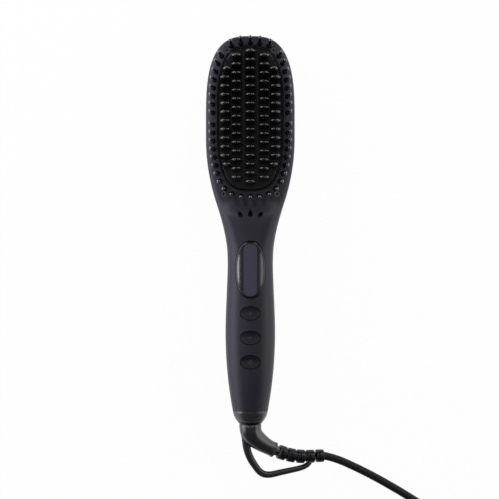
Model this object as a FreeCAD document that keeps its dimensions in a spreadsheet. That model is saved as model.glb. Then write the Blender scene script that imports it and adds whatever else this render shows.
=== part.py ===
"""Heated hair straightening brush with a swivel cord, in millimetres.

The brush lies on its back: bristles up (+Z), head towards +Y, tail towards -Y.
The origin is under the middle of the body, on the surface that the brush lies on.
"""
import FreeCAD, Part
import math
import os
import re
import Sketcher

Vector = FreeCAD.Vector
Rotation = FreeCAD.Rotation

# ---------------------------------------------------------------- driving dimensions
SIZES = {
    # outline seen from the front: lengths of its stretches, from the head tip to the tail
    "nose_length": 60.7, "crown_length": 14.0, "shoulder_length": 46.0, "neck_length": 42.0,
    "handle_length": 53.0, "taper_length": 56.8, "cap_band": 5.7, "cap_chamfer": 3.2,
    # half widths where those stretches meet, and the shapes between them
    "head_half": 32.3, "shoulder_half": 24.85, "waist_half": 16.5, "grip_half": 18.1, "tail_half": 12.8,
    "shoulder_slope": 0.325, "nose_power": 2.95, "front_nose_power": 5.0, "rear_nose_power": 3.5,
    # heights above and below the parting plane
    "parting_height": 17.0, "head_front": 8.5, "neck_front": 14.2, "waist_front": 14.8, "grip_front": 15.5,
    "waist_rear": 16.0, "ramp_back": 20.0, "ramp_foot": 22.0, "ramp_top": 8.0,
    # how square the section is: 2 is an ellipse
    "round_power": 2.0, "front_power": 4.0, "rear_power": 2.8,
    "wall": 2.2, "fit_gap": 0.15,
    # heating plate, its bristle blades and their caps
    "plate_half_width": 22.9, "plate_half_length": 51.6, "plate_from_tip": 60.65, "plate_power": 3.1,
    "plate_bottom": 21.0, "plate_top": 24.1, "plate_round": 1.1,
    "row_pitch": 6.12, "bristle_shift": 0.2, "column_mid": 9.75, "column_outer": 17.6, "column_end": 16.4,
    "blade_width": 7.8, "blade_end_width": 6.4, "blade_depth": 3.1, "blade_taper": 0.84, "blade_top": 36.0,
    "cap_top": 40.0, "cap_overhang": 0.25, "cap_cover": 3.2, "cap_dome": 3.3,
    # insulating frame round the plate
    "frame_gap": 0.15, "frame_wall": 0.7, "frame_clear": 0.3, "frame_ledge": 2.0, "frame_ledge_depth": 1.7,
    "frame_top": 22.8, "frame_flange": 3.5, "frame_flange_depth": 1.6,
    # comb pegs on their ring
    "peg_half_width": 26.3, "peg_half_length": 54.6, "peg_power": 3.1, "peg_pitch": 5.9, "peg_end_pitch": 6.6,
    "peg_gap": 8.6, "peg_splay": 9.0, "peg_end_splay": 4.0, "peg_root": 1.7, "peg_neck": 1.0,
    "peg_ball": 1.3, "peg_top": 34.5,
    "peg_hole_gap": 0.2, "ring_half": 1.95, "ring_depth": 2.4, "eye_radius": 3.9,
    # screws through the head
    "head_screw_x": 16.8, "head_screw_from_tip": 11.0, "foot_screw_x": 19.3, "foot_screw_from_plate": 54.2,
    "screw_seat": 22.1, "screw_head": 2.2, "screw_head_depth": 1.3, "screw_shank": 1.3, "screw_length": 16.0,
    "shank_overlap": 0.01, "slot_reach": 0.62, "slot_thin": 0.13, "slot_deep": 0.55,
    "screw_recess_gap": 0.35, "screw_hole_gap": 0.2, "boss_radius": 3.2,
    # heater under the plate
    "ptc_half_width": 9.0, "ptc_length": 36.0, "ptc_gap": 2.0, "ptc_depth": 3.2,
    "clamp_half_width": 16.0, "clamp_half_length": 43.0, "clamp_depth": 1.0,
    "clamp_screw_x": 12.6, "clamp_screw_y": 39.5, "clamp_boss": 2.9,
    "small_head": 2.0, "small_head_depth": 1.2, "small_shank": 1.0, "clamp_screw_length": 3.6,
    "fuse_radius": 1.9, "fuse_length": 12.0, "fuse_y": 12.0, "sensor_width": 6.0, "sensor_length": 4.0,
    "sensor_depth": 1.8, "sensor_y": 14.0, "touch_gap": 0.1,
    "shield_half_width": 20.0, "shield_half_length": 45.5, "shield_height": 12.0, "shield_depth": 0.8,
    "shield_corner": 10.0, "shield_rib_y": 30.0, "rib_depth": 1.6,
    "heater_lead_x": 4.0, "heater_lead_radius": 0.8, "lead_gap": 0.45, "lead_past": 0.65, "lead_inside": 2.55,
    "lead_under": 1.4, "lead_rise": 1.1,
    # ion generator and its outlets
    "ion_y": 10.0, "ion_half_width": 10.5, "ion_half_length": 7.0, "ion_bottom": 6.0, "ion_height": 9.5,
    "ion_rib_y": 4.5, "needle_radius": 0.5, "needle_top": 22.0,
    "outlet_y": 10.9, "outlet_side_x": 7.2, "outlet_side_y": 10.7, "outlet_radius": 1.7, "outlet_length": 4.0,
    "outlet_side_half": 1.45, "outlet_side_length": 2.5, "outlet_lean": 38.0, "outlet_wall": 0.5,
    "outlet_plate_half": 10.6,
    "outlet_plate_length": 9.0, "outlet_plate_depth": 1.2, "outlet_plate_shift": 0.8, "outlet_sink": 0.35,
    # display window
    "lens_half_width": 10.6, "lens_half_length": 20.4, "lens_power": 2.25, "lens_from_waist": 6.6,
    "lens_depth": 1.6, "lens_ledge": 1.2, "lens_gap": 0.35, "lens_proud": 0.2, "lens_round": 1.4,
    "lens_crown": 45.0,
    "display_half_width": 7.5, "display_half_length": 15.5, "display_height": 5.8,
    # control board
    "board_bottom": 19.4, "board_depth": 1.6, "board_half_width": 11.8, "board_front": 0.6,
    "board_rear_gap": 1.8, "board_screw_front_x": 8.4, "board_screw_rear_x": 7.6, "board_screw_inset": 4.0,
    "board_boss": 2.4, "board_screw_length": 6.0,
    "relay_half_width": 7.5, "relay_half_length": 9.0, "relay_height": 9.0, "relay_y": 4.0,
    "triac_half_width": 4.0, "triac_half_length": 2.2, "triac_height": 10.0, "triac_x": 5.0, "triac_y": 16.5,
    "capacitor_radius": 4.0, "processor_half": 4.5, "processor_height": 1.4,
    "connector_half_width": 5.0, "connector_half_length": 3.0, "connector_height": 6.0,
    # three buttons on tact switches
    "button_half_width": 7.1, "button_half_length": 4.75, "button_power": 2.0, "button_pitch": 17.4,
    "button_from_lens": 31.0, "button_gap": 0.45, "button_sunk": 0.15, "button_flange": 1.2,
    "button_base": 25.9, "button_flange_depth": 0.9, "button_post": 1.5, "crown_radius": 20.0,
    "dish_depth": 0.8, "power_dish_depth": 1.1, "button_travel": 0.5,
    "switch_half": 3.0, "switch_height": 3.4,
    "switch_stem": 1.7, "switch_stem_gap": 0.08, "switch_stem_top": 25.2, "switch_stem_length": 2.6,
    # swivel at the tail
    "bush_from_seam": 15.8, "bush_bore_gap": 0.08, "bush_radius": 8.5, "bush_flange": 11.0,
    "bush_flange_depth": 2.0, "bush_end_gap": 2.2, "spigot_length": 6.7, "spigot_inner": 8.9,
    "cap_lip": 2.8, "cap_lip_radius": 13.0, "seam_slope": 0.155, "seam_groove": 0.2,
    "cap_hole": 8.05, "cap_end_depth": 2.2, "cap_round": 12.15, "cap_edge": 10.75, "cap_rim": 8.3,
    "stem_radius": 5.05, "stem_bore": 2.4, "stem_front": 6.5, "stem_shoulder": 7.5,
    "stem_shoulder_depth": 3.0, "stem_core": 5.4,
    "clip_radius": 7.4, "clip_depth": 0.8, "clip_groove": 0.5, "clip_gap": 0.2,
    "slip_ring_radius": 6.0, "slip_ring_width": 1.6, "slip_ring_pitch": 2.4, "slip_ring_inset": 0.9,
    "spring_width": 2.4, "spring_x": 1.8, "spring_depth": 0.4, "spring_foot": 3.2, "spring_step": 1.2,
    "spring_lean": 0.3, "spring_gap": 0.15,
    # cord guard, its ribs and the hanging loop
    "neck_radius": 7.7, "flare_start": 0.4, "flare_end": 1.2, "elbow_radius": 8.05, "elbow_length": 27.0,
    "elbow_tip_radius": 5.3, "lip_length": 1.3, "lip_proud": 0.4, "lip_round": 0.25, "relief_core": 3.6,
    "rib_count": 5, "rib_pitch": 7.28, "rib_first": 33.1, "rib_length": 5.9, "rib_start_radius": 5.15,
    "rib_end_radius": 4.65, "rib_round": 0.85, "rib_slot_width": 1.1, "rib_slot_half": 3.0,
    "rib_slot_depth": 1.2, "rib_slot_shift": 0.9, "guard_tilt": 11.0,
    "loop_start_half": 3.0, "loop_end_half": 1.8, "loop_start_thick": 2.3, "loop_end_thick": 1.6,
    # cord, its put-away coil and plug
    "cord_radius": 2.9, "coil_turn_radius": 43.0, "coil_turns_wide": 4, "coil_layers": 2, "coil_jog": 2.4,
    "tie_width": 10.0, "tie_depth": 0.6, "tie_angle": -30.0, "coil_fillet": 2.8, "coil_leave_angle": -120.0,
    "plug_length": 27.0, "plug_width": 25.0, "plug_height": 16.0, "plug_corner": 4.0,
    "plug_relief_length": 24.0, "plug_relief_root": 5.6, "plug_relief_tip": 3.6,
    "blade_pin_length": 17.0, "blade_pin_height": 6.3, "blade_pin_depth": 1.5, "blade_pin_spacing": 12.7,
}

# places along the body and heights that follow from the sizes above
PLACES = {
    "tip_y": "(nose_length + crown_length + shoulder_length + neck_length + handle_length"
             " + taper_length + cap_band + cap_chamfer) / 2",
    "wide_y": "tip_y - nose_length",
    "low_y": "wide_y - crown_length",
    "shoulder_y": "low_y - shoulder_length",
    "ramp_y": "shoulder_y - ramp_back",
    "waist_y": "shoulder_y - neck_length",
    "grip_y": "waist_y - handle_length",
    "seam_y": "grip_y - taper_length",
    "band_y": "seam_y - cap_band",
    "tail_y": "band_y - cap_chamfer",
    "plate_y": "tip_y - plate_from_tip",
    "head_screw_y": "tip_y - head_screw_from_tip",
    "foot_screw_y": "plate_y - foot_screw_from_plate",
    "ring_top": "parting_height + ring_depth",
    "clamp_top": "plate_bottom - ptc_depth",
    "clamp_bottom": "clamp_top - clamp_depth",
    "ion_mid_y": "ramp_y + ion_y",
    "outlet_mid_y": "ramp_y + outlet_y",
    "outlet_side_mid_y": "ramp_y + outlet_side_y",
    "ion_top": "ion_bottom + ion_height",
    "lens_y": "waist_y - lens_from_waist",
    "board_top": "board_bottom + board_depth",
    "board_front_y": "ramp_y + board_front",
    "first_button_y": "lens_y - button_from_lens",
    "bush_front_y": "seam_y + bush_from_seam",
    "spigot_y": "seam_y + spigot_length",
    "bush_end_y": "seam_y - bush_end_gap",
    "clip_y": "bush_front_y + clip_gap",
    "stem_front_y": "bush_front_y + stem_front",
    "stem_shoulder_y": "bush_end_y - clip_gap",
    "guard_y": "stem_shoulder_y - stem_shoulder_depth",
    "board_rear_y": "stem_front_y + board_rear_gap",
}

# routes chosen by hand, measured from the swivel axis and from the body's tail: (across, along)
GUARD_ROUTE = [(0, -2.2), (0.25, -4.7), (1.4, -8.1), (5.3, -12.5), (10.2, -16.1), (16.7, -19.8),
               (23.6, -22.7), (30.5, -24.8), (37.8, -26.05), (45.0, -26.4), (52.3, -26.35), (55.1, -26.4)]
LOOP_ROUTE = [(-3.9, -8.5), (-3.2, -14.0), (-1.6, -21.6), (1.7, -28.6), (5.6, -34.2), (10.6, -37.9),
              (16.4, -38.2), (22.8, -37.1), (30.5, -35.9), (37.8, -34.6), (42.6, -32.7), (45.1, -28.0)]
# the cord's routes on the table from the guard and from the coil: (across, along from the tail, height)
LEAD_ROUTE = [(62.0, -28.1, 4.95), (78.5, -35.7, 3.15), (97.0, -45.2, 2.95), (121.5, -59.6, 2.95),
              (145.2, -76.6, 3.5)]
TAIL_ROUTE = [(84.5, -139.9, 9.0), (70.5, -132.6, 8.0), (59.5, -126.1, 8.0)]
# the heater leads from the elements to the board: (along, height)
HEATER_LEAD_ROUTE = [
    ("plate_y - ptc_gap / 2 - ptc_length - lead_gap", "clamp_top + ptc_depth / 2"),
    ("plate_y - clamp_half_length - lead_past", "clamp_top + ptc_depth / 2"),
    ("plate_y - plate_half_length + lead_inside", "parting_height - frame_flange_depth - lead_under"),
    ("plate_y - plate_half_length - frame_flange - lead_gap",
     "parting_height - frame_flange_depth - lead_under"),
    ("ion_mid_y + ion_half_length + lead_gap", "ion_top + lead_rise"),
    ("ion_mid_y - ion_half_width / 5", "ion_top + 1.4 * lead_rise"),
    ("board_front_y", "board_bottom - lead_rise")]

NOSE_STEPS = (0.22, 0.44, 0.62, 0.76, 0.87, 0.94, 0.98, 0.9965)
HALF_STEPS = 14
OVAL_STEPS = 32
LENS_STATIONS = 7
PAST_PLANE = 1.0
PEG_SHIFT = 1.1
PEG_SINK = 1.0
ELBOW_STEPS = 8
LEAST_OVAL = 0.01

doc = FreeCAD.newDocument("HairBrush")


# ---------------------------------------------------------------- sheet and expressions
def write_sheet():
    """Put every driving size in the spreadsheet, as text, under its own alias."""
    table = doc.addObject("Spreadsheet::Sheet", "Sizes")
    for row, (alias, number) in enumerate(SIZES.items(), start=1):
        table.set("A%d" % row, alias.replace("_", " "))
        table.set("B%d" % row, str(number))
        table.setAlias("B%d" % row, alias)
    return table


def linked(expression):
    """The expression with each name led to the spreadsheet or to the derived places."""
    def owner(match):
        word = match.group(0)
        if word in SIZES:
            return "Sizes." + word
        return "Places." + word if word in PLACES else word
    return re.sub(r"[a-z][a-z_]*", owner, str(expression))


def write_places():
    """Keep the derived places as expressions in one object."""
    derived = doc.addObject("App::VarSet", "Places")
    for name, expression in PLACES.items():
        derived.addProperty("App::PropertyFloat", name, "Places")
        derived.setExpression(name, linked(expression))
    return derived


sheet = write_sheet()
doc.recompute()
places = write_places()
doc.recompute()


def size(name):
    return float(sheet.get(name)) if name in SIZES else float(getattr(places, name))


def bind(thing, settings):
    """Tie properties of a document object to expressions."""
    for target, expression in settings.items():
        thing.setExpression(target, linked(expression))
    return thing


def moved_to(thing, x, y, z):
    return bind(thing, {"Placement.Base.x": x, "Placement.Base.y": y, "Placement.Base.z": z})


# ---------------------------------------------------------------- document primitives
def box(name, x, y, z):
    """A box; x, y and z each give its low side and its size as expressions."""
    block = doc.addObject("Part::Box", name)
    bind(block, {"Length": x[1], "Width": y[1], "Height": z[1]})
    return moved_to(block, x[0], y[0], z[0])


def centred_box(name, middle_x, half_x, middle_y, half_y, low_z, height):
    return box(name, ("%s - (%s)" % (middle_x, half_x), "2 * (%s)" % half_x),
               ("%s - (%s)" % (middle_y, half_y), "2 * (%s)" % half_y), (low_z, height))


def rod(name, radius, length, x, y, z, axis=(0, 0, 1)):
    """A round bar from (x, y, z) along the axis."""
    bar = doc.addObject("Part::Cylinder", name)
    bar.Placement = FreeCAD.Placement(Vector(), Rotation(Vector(0, 0, 1), Vector(*axis)))
    bind(bar, {"Radius": radius, "Height": length})
    return moved_to(bar, x, y, z)


def joined(name, pieces):
    union = doc.addObject("Part::MultiFuse", name)
    union.Shapes = pieces
    return union


def without(name, base, *tools):
    """The base with each tool cut away."""
    tool = tools[0] if len(tools) == 1 else joined(name + "_tools", list(tools))
    cut = doc.addObject("Part::Cut", name)
    cut.Base = base
    cut.Tool = tool
    return cut


def group(name, pieces):
    """Separate solids kept together in one node."""
    bundle = doc.addObject("Part::Compound", name)
    bundle.Links = pieces
    return bundle


def feature(name, shape, place=None):
    """A document object for a shape that was worked out with Part's own functions."""
    thing = doc.addObject("Part::Feature", name)
    thing.Shape = shape
    if place:
        thing.Placement = place
    return thing


def plane_of(body, role):
    return next(item for item in body.Origin.OriginFeatures if item.Role == role)


def closed_sketch(body, name, role, corners):
    """A closed outline on one of the body's own planes, each corner tied to two expressions."""
    sketch = body.newObject("Sketcher::SketchObject", name)
    sketch.AttachmentSupport = [(plane_of(body, role), "")]
    sketch.MapMode = "FlatFace"
    numbers = [(measure(u), measure(v)) for u, v in corners]
    count = len(numbers)
    for index in range(count):
        start, end = numbers[index], numbers[(index + 1) % count]
        sketch.addGeometry(Part.LineSegment(Vector(*start, 0), Vector(*end, 0)), False)
    for index in range(count):
        sketch.addConstraint(Sketcher.Constraint("Coincident", index, 2, (index + 1) % count, 1))
    for index, (u, v) in enumerate(corners):
        for kind, expression, number in zip(("DistanceX", "DistanceY"), (u, v), numbers[index]):
            tie = sketch.addConstraint(Sketcher.Constraint(kind, index, 1, number))
            sketch.setExpression("Constraints[%d]" % tie, linked(expression))
    return sketch


def measure(expression):
    """The number that an expression has now, read through a scratch property."""
    if "Scratch" not in places.PropertiesList:
        places.addProperty("App::PropertyFloat", "Scratch", "Scratch")
    places.setExpression("Scratch", linked(expression))
    places.recompute()
    number = places.Scratch
    places.setExpression("Scratch", None)
    return number


def turned(name, outline):
    """A body turned about the swivel axis; the outline is given as (y, radius)."""
    body = doc.addObject("PartDesign::Body", name)
    sketch = closed_sketch(body, name + "_outline", "YZ_Plane", outline)
    turn = body.newObject("PartDesign::Revolution", name + "_turn")
    turn.Profile = sketch
    turn.ReferenceAxis = (sketch, ["H_Axis"])
    turn.Angle = 360
    return moved_to(body, 0, 0, "parting_height")


def padded(name, role, outline, depth):
    """A body padded from one outline."""
    body = doc.addObject("PartDesign::Body", name)
    sketch = closed_sketch(body, name + "_outline", role, outline)
    pad = body.newObject("PartDesign::Pad", name + "_pad")
    pad.Profile = sketch
    bind(pad, {"Length": depth})
    return body


def screw(name, x, y, seat, head, head_depth, shank, length, up=True):
    """A cross-head screw; up says that its head faces +Z, and seat is the plane under the head."""
    way = 1 if up else -1
    axis = (0, 0, way)
    cap = rod(name + "_head", head, head_depth, x, y, seat, axis)
    bar = rod(name + "_shank", shank, length + " + shank_overlap", x, y,
              "%s + %d * shank_overlap" % (seat, way), (0, 0, -way))
    slot_depth = "%s * slot_deep" % head_depth
    slot_base = "%s - %s" % (seat, head_depth)
    if up:
        slot_base = "%s + %s - %s" % (seat, head_depth, slot_depth)
    reach, thin = head + " * slot_reach", head + " * slot_thin"
    slots = [centred_box(name + "_slot_across", x, reach, y, thin, slot_base, slot_depth),
             centred_box(name + "_slot_along", x, thin, y, reach, slot_base, slot_depth)]
    return without(name, joined(name + "_blank", [cap, bar]), *slots)


# ---------------------------------------------------------------- the body's shape
def hermite(share, low, high, low_slope, high_slope, span):
    """A cubic between two values with given slopes at its ends."""
    rise = share * share * (3 - 2 * share)
    lead = share * (1 - share) ** 2
    trail = share * share * (share - 1)
    return low * (1 - rise) + high * rise + span * (low_slope * lead + high_slope * trail)


def blended(y, knots):
    """The value at y between knots given as (y, value, slope), from the tail to the head."""
    if y <= knots[0][0]:
        return knots[0][1]
    for (low_y, low, low_slope), (high_y, high, high_slope) in zip(knots, knots[1:]):
        if y <= high_y:
            return hermite((y - low_y) / (high_y - low_y), low, high, low_slope, high_slope, high_y - low_y)
    return knots[-1][1]


def taper_slope(grip):
    """The slope at the tail seam of the parabola that ends level at the grip."""
    return 2 * (grip - size("tail_half")) / size("taper_length")


def half_width_at(y):
    return blended(y, [
        (size("seam_y"), size("tail_half"), taper_slope(size("grip_half"))),
        (size("grip_y"), size("grip_half"), 0),
        (size("waist_y"), size("waist_half"), 0),
        (size("shoulder_y"), size("shoulder_half"), size("shoulder_slope")),
        (size("low_y"), size("head_half"), 0)])


def front_at(y):
    """Height of the front face above the parting plane."""
    ramp = size("ramp_y")
    return blended(y, [
        (size("seam_y"), size("tail_half"), taper_slope(size("grip_front"))),
        (size("grip_y"), size("grip_front"), 0),
        (size("waist_y"), size("waist_front"), 0),
        (ramp + size("ramp_top"), size("neck_front"), -0.08),
        (ramp + size("ramp_foot"), size("head_front") + 0.15, -0.03),
        (size("low_y"), size("head_front"), 0)])


def rear_at(y):
    """Depth of the rear face below the parting plane."""
    deep = size("parting_height")
    return blended(y, [
        (size("seam_y"), size("tail_half"), taper_slope(deep)),
        (size("grip_y"), deep, 0),
        (size("waist_y"), size("waist_rear"), 0),
        (size("low_y"), deep, 0)])


def powers_at(y):
    """How square the front and rear halves of the section are."""
    ramp = size("ramp_y")
    start = (size("waist_y"), size("round_power") + 0.1, 0)
    tail = (size("seam_y"), size("round_power"), 0)
    front = blended(y, [tail, start, (ramp + size("ramp_foot"), size("front_power") * 0.92, 0.02),
                        (size("low_y"), size("front_power"), 0)])
    rear = blended(y, [tail, start, (size("low_y"), size("rear_power"), 0)])
    return front, rear


def nose_share(y, inset, power):
    """How much of the height or width is left at y as the nose rounds over."""
    reach = (y - size("wide_y")) / (size("nose_length") - inset)
    return (1 - max(reach, 0) ** power) ** (1 / power)


def superellipse(half_x, half_y, power, angle):
    """The point of a superellipse in a direction."""
    across, up = math.cos(angle), math.sin(angle)
    reach = (abs(across) ** power + abs(up) ** power) ** (-1 / power)
    return half_x * reach * across, half_y * reach * up


def half_section(y, inset, way):
    """Half a section of the body at y, above (way 1) or below (way -1) the parting plane.

    An inset section reaches a little past the plane, because it is used to hollow the covers.
    """
    height = (front_at(y) if way > 0 else rear_at(y)) - inset
    height *= nose_share(y, inset, size("front_nose_power" if way > 0 else "rear_nose_power"))
    half = (half_width_at(y) - inset) * nose_share(y, inset, size("nose_power"))
    power = powers_at(y)[0 if way > 0 else 1]
    middle = size("parting_height")
    points = []
    for index in range(HALF_STEPS + 1):
        x, z = superellipse(half, height, power, math.pi * index / HALF_STEPS)
        points.append(Vector(x, y, middle + way * z))
    arch = Part.BSplineCurve()
    arch.interpolate(Points=points, Parameters=[index / HALF_STEPS for index in range(HALF_STEPS + 1)])
    edges = [arch.toShape()]
    corners = [points[-1], points[0]]
    if inset > 0:
        past = Vector(0, 0, -way * PAST_PLANE)
        corners = [points[-1], points[-1] + past, points[0] + past, points[0]]
    edges += [Part.LineSegment(start, end).toShape() for start, end in zip(corners, corners[1:])]
    return Part.Wire(edges)


def body_stations(inset):
    """Where the body is sectioned, from the head tip to the tail."""
    nose = size("nose_length") - inset
    stations = [size("wide_y") + nose * step for step in reversed(NOSE_STEPS)]
    ramp = size("ramp_y")
    foot, top = ramp + size("ramp_foot"), ramp + size("ramp_top")
    waist, grip = size("waist_y"), size("grip_y")
    spans = [(size("wide_y"), size("low_y"), 2), (size("low_y"), foot, 4), (foot, top, 5), (top, waist, 3),
             (waist, grip, 4), (grip, size("seam_y"), 5)]
    for start, end, count in spans:
        stations += [start + (end - start) * step / count for step in range(count)]
    stations.append(size("seam_y") - (PAST_PLANE if inset > 0 else 0))
    return stations


HALVES = {}


def body_half(inset, way):
    """Half of the body as one solid, inset evenly; kept, because several pieces need it."""
    if (inset, way) not in HALVES:
        sections = [half_section(y, inset, way) for y in body_stations(inset)]
        HALVES[inset, way] = Part.makeLoft(sections, True, False, False, 5)
    return HALVES[inset, way]


def block(low, high):
    return Part.makeBox(high[0] - low[0], high[1] - low[1], high[2] - low[2], Vector(*low))


# ---------------------------------------------------------------- shared outlines
def oval_wire(half_x, half_y, power, centre, height):
    """A closed superellipse at one height."""
    points = []
    for index in range(OVAL_STEPS):
        x, y = superellipse(half_x, half_y, power, 2 * math.pi * index / OVAL_STEPS)
        points.append(Vector(centre[0] + x, centre[1] + y, height))
    outline = Part.BSplineCurve()
    outline.interpolate(Points=points, PeriodicFlag=True)
    return Part.Wire(outline.toShape())


def oval_prism(half_x, half_y, power, centre, low, high):
    return Part.Face(oval_wire(half_x, half_y, power, centre, low)).extrude(Vector(0, 0, high - low))


def plate_prism(grow, low, high):
    """The heating plate's outline, grown or shrunk, between two heights."""
    return oval_prism(size("plate_half_width") + grow, size("plate_half_length") + grow, size("plate_power"),
                      (0, size("plate_y")), low, high)


def plate_band(inner, outer, low, high):
    return plate_prism(outer, low, high).cut(plate_prism(inner, low - 1, high + 1))


def upright(radius, x, y, low, high):
    return Part.makeCylinder(radius, high - low, Vector(x, y, low))


def screw_places():
    """The four screws that hold the head together."""
    places_xy = []
    for side in (-1, 1):
        places_xy.append((side * size("head_screw_x"), size("head_screw_y")))
        places_xy.append((side * size("foot_screw_x"), size("foot_screw_y")))
    return places_xy


# ---------------------------------------------------------------- head: pegs
def peg_places():
    """Foot and outward direction of each comb peg round the plate."""
    outline = oval_wire(size("peg_half_width"), size("peg_half_length"), size("peg_power"),
                        (0, size("plate_y") - PEG_SHIFT), size("ring_top"))
    path = outline.Edges[0].Curve
    total = outline.Length
    pitch, end_pitch = size("peg_pitch"), size("peg_end_pitch")
    right = [PEG_SHIFT + size("peg_gap") / 2 + pitch * index for index in range(8)]
    right += [PEG_SHIFT - size("peg_gap") / 2 - pitch * index for index in range(9)]
    left = [total / 2 - length for length in right]
    ends = [total * share + end_pitch * index for share in (0.25, 0.75) for index in range(-2, 3)]
    found = []
    for length in right + left + ends:
        parameter = path.parameterAtDistance(length % total, path.FirstParameter)
        tangent = path.tangent(parameter)[0]
        found.append((path.value(parameter), Vector(tangent.y, -tangent.x, 0).normalize()))
    return found


def peg_way(outward):
    """Direction of a comb peg; those at the tip lean out more than those behind the plate."""
    lean = math.radians(size("peg_splay") + size("peg_end_splay") * outward.y)
    return outward * math.sin(lean) + Vector(0, 0, math.cos(lean))


def peg_master():
    """One comb peg standing on the origin: a slim cone that ends in a ball."""
    ball, neck, root = size("peg_ball"), size("peg_neck"), size("peg_root")
    rise = (size("peg_top") - size("ring_top") - ball) / math.cos(math.radians(size("peg_splay")))
    waist = Vector(neck, 0, rise - math.sqrt(ball ** 2 - neck ** 2))
    tip, side = Vector(0, 0, rise + ball), Vector(ball, 0, rise)
    foot = [Vector(0, 0, -PEG_SINK), Vector(root, 0, -PEG_SINK)]
    edges = [Part.LineSegment(*foot).toShape(), Part.LineSegment(foot[1], waist).toShape(),
             Part.Arc(waist, side, tip).toShape(), Part.LineSegment(tip, foot[0]).toShape()]
    return Part.Face(Part.Wire(edges)).revolve(Vector(), Vector(0, 0, 1), 360)


def pegs():
    """The comb pegs, splayed outwards from their ring."""
    master = peg_master()
    solids = []
    for foot, outward in peg_places():
        peg = master.copy()
        peg.Placement = FreeCAD.Placement(foot, Rotation(Vector(0, 0, 1), peg_way(outward)))
        solids.append(peg)
    return solids


def peg_holes():
    """The bores in the front cover that the pegs stand through."""
    radius = size("peg_root") + size("peg_hole_gap")
    depth = 2 * size("head_front")
    return [Part.makeCylinder(radius, depth, foot + peg_way(outward) * 0.3, peg_way(outward))
            for foot, outward in peg_places()]


def make_peg_ring():
    low, high = size("parting_height"), size("ring_top")
    half, power = size("ring_half"), size("peg_power")
    centre = (0, size("plate_y") - PEG_SHIFT)
    across, along = size("peg_half_width"), size("peg_half_length")
    outer = oval_prism(across + half, along + half, power, centre, low, high)
    inner = oval_prism(across - half, along - half, power, centre, low, high)
    ring = outer.cut(inner)
    eyes = [upright(size("eye_radius"), x, y, low, high).common(body_half(size("wall") + size("fit_gap"), 1))
            for x, y in screw_places()]
    room = plate_prism(size("frame_wall") + size("frame_gap") + size("fit_gap"), low - 1, size("peg_top"))
    ring = ring.fuse(eyes + pegs()).cut(room)
    bores = [upright(size("screw_shank") + size("screw_hole_gap"), x, y, low - 1, high + 1)
             for x, y in screw_places()]
    return feature("peg_ring", ring.cut(bores))


# ---------------------------------------------------------------- the two shells
def drop_prism(y, radius, length, grow, low, high):
    """A drop-shaped column on the middle line: round at its foot, pointed towards the head."""
    radius += grow
    tip = length + grow * 1.6
    touch = math.acos(radius / tip)
    start = Vector(radius * math.sin(touch), y + radius * math.cos(touch), low)
    end = Vector(-start.x, start.y, low)
    point = Vector(0, y + tip, low)
    foot = Part.Arc(start, Vector(0, y - radius, low), end).toShape()
    sides = [Part.LineSegment(end, point).toShape(), Part.LineSegment(point, start).toShape()]
    return Part.Face(Part.Wire([foot] + sides)).extrude(Vector(0, 0, high - low))


def leaf_prism(half_length, half_width, grow, low, high):
    """A column with the outline of a leaf: two arcs that meet in a point at both ends."""
    top = Vector(0, half_length + grow * 1.6, low)
    foot, side = Vector(0, -top.y, low), Vector(half_width + grow, 0, low)
    arcs = [Part.Arc(top, side, foot).toShape(), Part.Arc(foot, Vector(-side.x, 0, low), top).toShape()]
    return Part.Face(Part.Wire(arcs)).extrude(Vector(0, 0, high - low))


def outlet_prisms(grow, low, high):
    """The three outlets across the neck: one upright, two leaning out."""
    columns = [drop_prism(size("outlet_mid_y"), size("outlet_radius"), size("outlet_length"),
                          grow, low, high)]
    for side in (-1, 1):
        leaf = leaf_prism(size("outlet_side_length"), size("outlet_side_half"), grow, low, high)
        leaf.rotate(Vector(), Vector(0, 0, 1), -side * size("outlet_lean"))
        leaf.translate(Vector(side * size("outlet_side_x"), size("outlet_side_mid_y"), 0))
        columns.append(leaf)
    return columns


def lens_prism(grow, low, high):
    return oval_prism(size("lens_half_width") + grow, size("lens_half_length") + grow, size("lens_power"),
                      (0, size("lens_y")), low, high)


def lens_crown():
    """A solid with the window's face: it follows the cover along the handle and is flatter across."""
    half, reach = 1.2 * size("lens_half_width"), 1.1 * size("lens_half_length")
    sag = size("lens_crown") - math.sqrt(size("lens_crown") ** 2 - half ** 2)
    low = size("parting_height")
    sections = []
    for index in range(LENS_STATIONS):
        y = size("lens_y") + reach * (2 * index / (LENS_STATIONS - 1) - 1)
        top = low + front_at(y) + size("lens_proud")
        left, right = Vector(-half, y, top - sag), Vector(half, y, top - sag)
        foot_left, foot_right = Vector(-half, y, low), Vector(half, y, low)
        edges = [Part.Arc(left, Vector(0, y, top), right).toShape(),
                 Part.LineSegment(right, foot_right).toShape(),
                 Part.LineSegment(foot_right, foot_left).toShape(),
                 Part.LineSegment(foot_left, left).toShape()]
        sections.append(Part.Wire(edges))
    return Part.makeLoft(sections, True)


def button_places():
    return [size("first_button_y") - size("button_pitch") * index for index in range(3)]


def button_prism(y, grow, low, high):
    return oval_prism(size("button_half_width") + grow, size("button_half_length") + grow,
                      size("button_power"), (0, y), low, high)


def board_screw_places():
    front_y = size("board_front_y") - size("board_screw_inset")
    rear_y = size("board_rear_y") + size("board_screw_inset")
    front_x, rear_x = size("board_screw_front_x"), size("board_screw_rear_x")
    return [(-front_x, front_y), (front_x, front_y), (-rear_x, rear_y), (rear_x, rear_y)]


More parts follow.
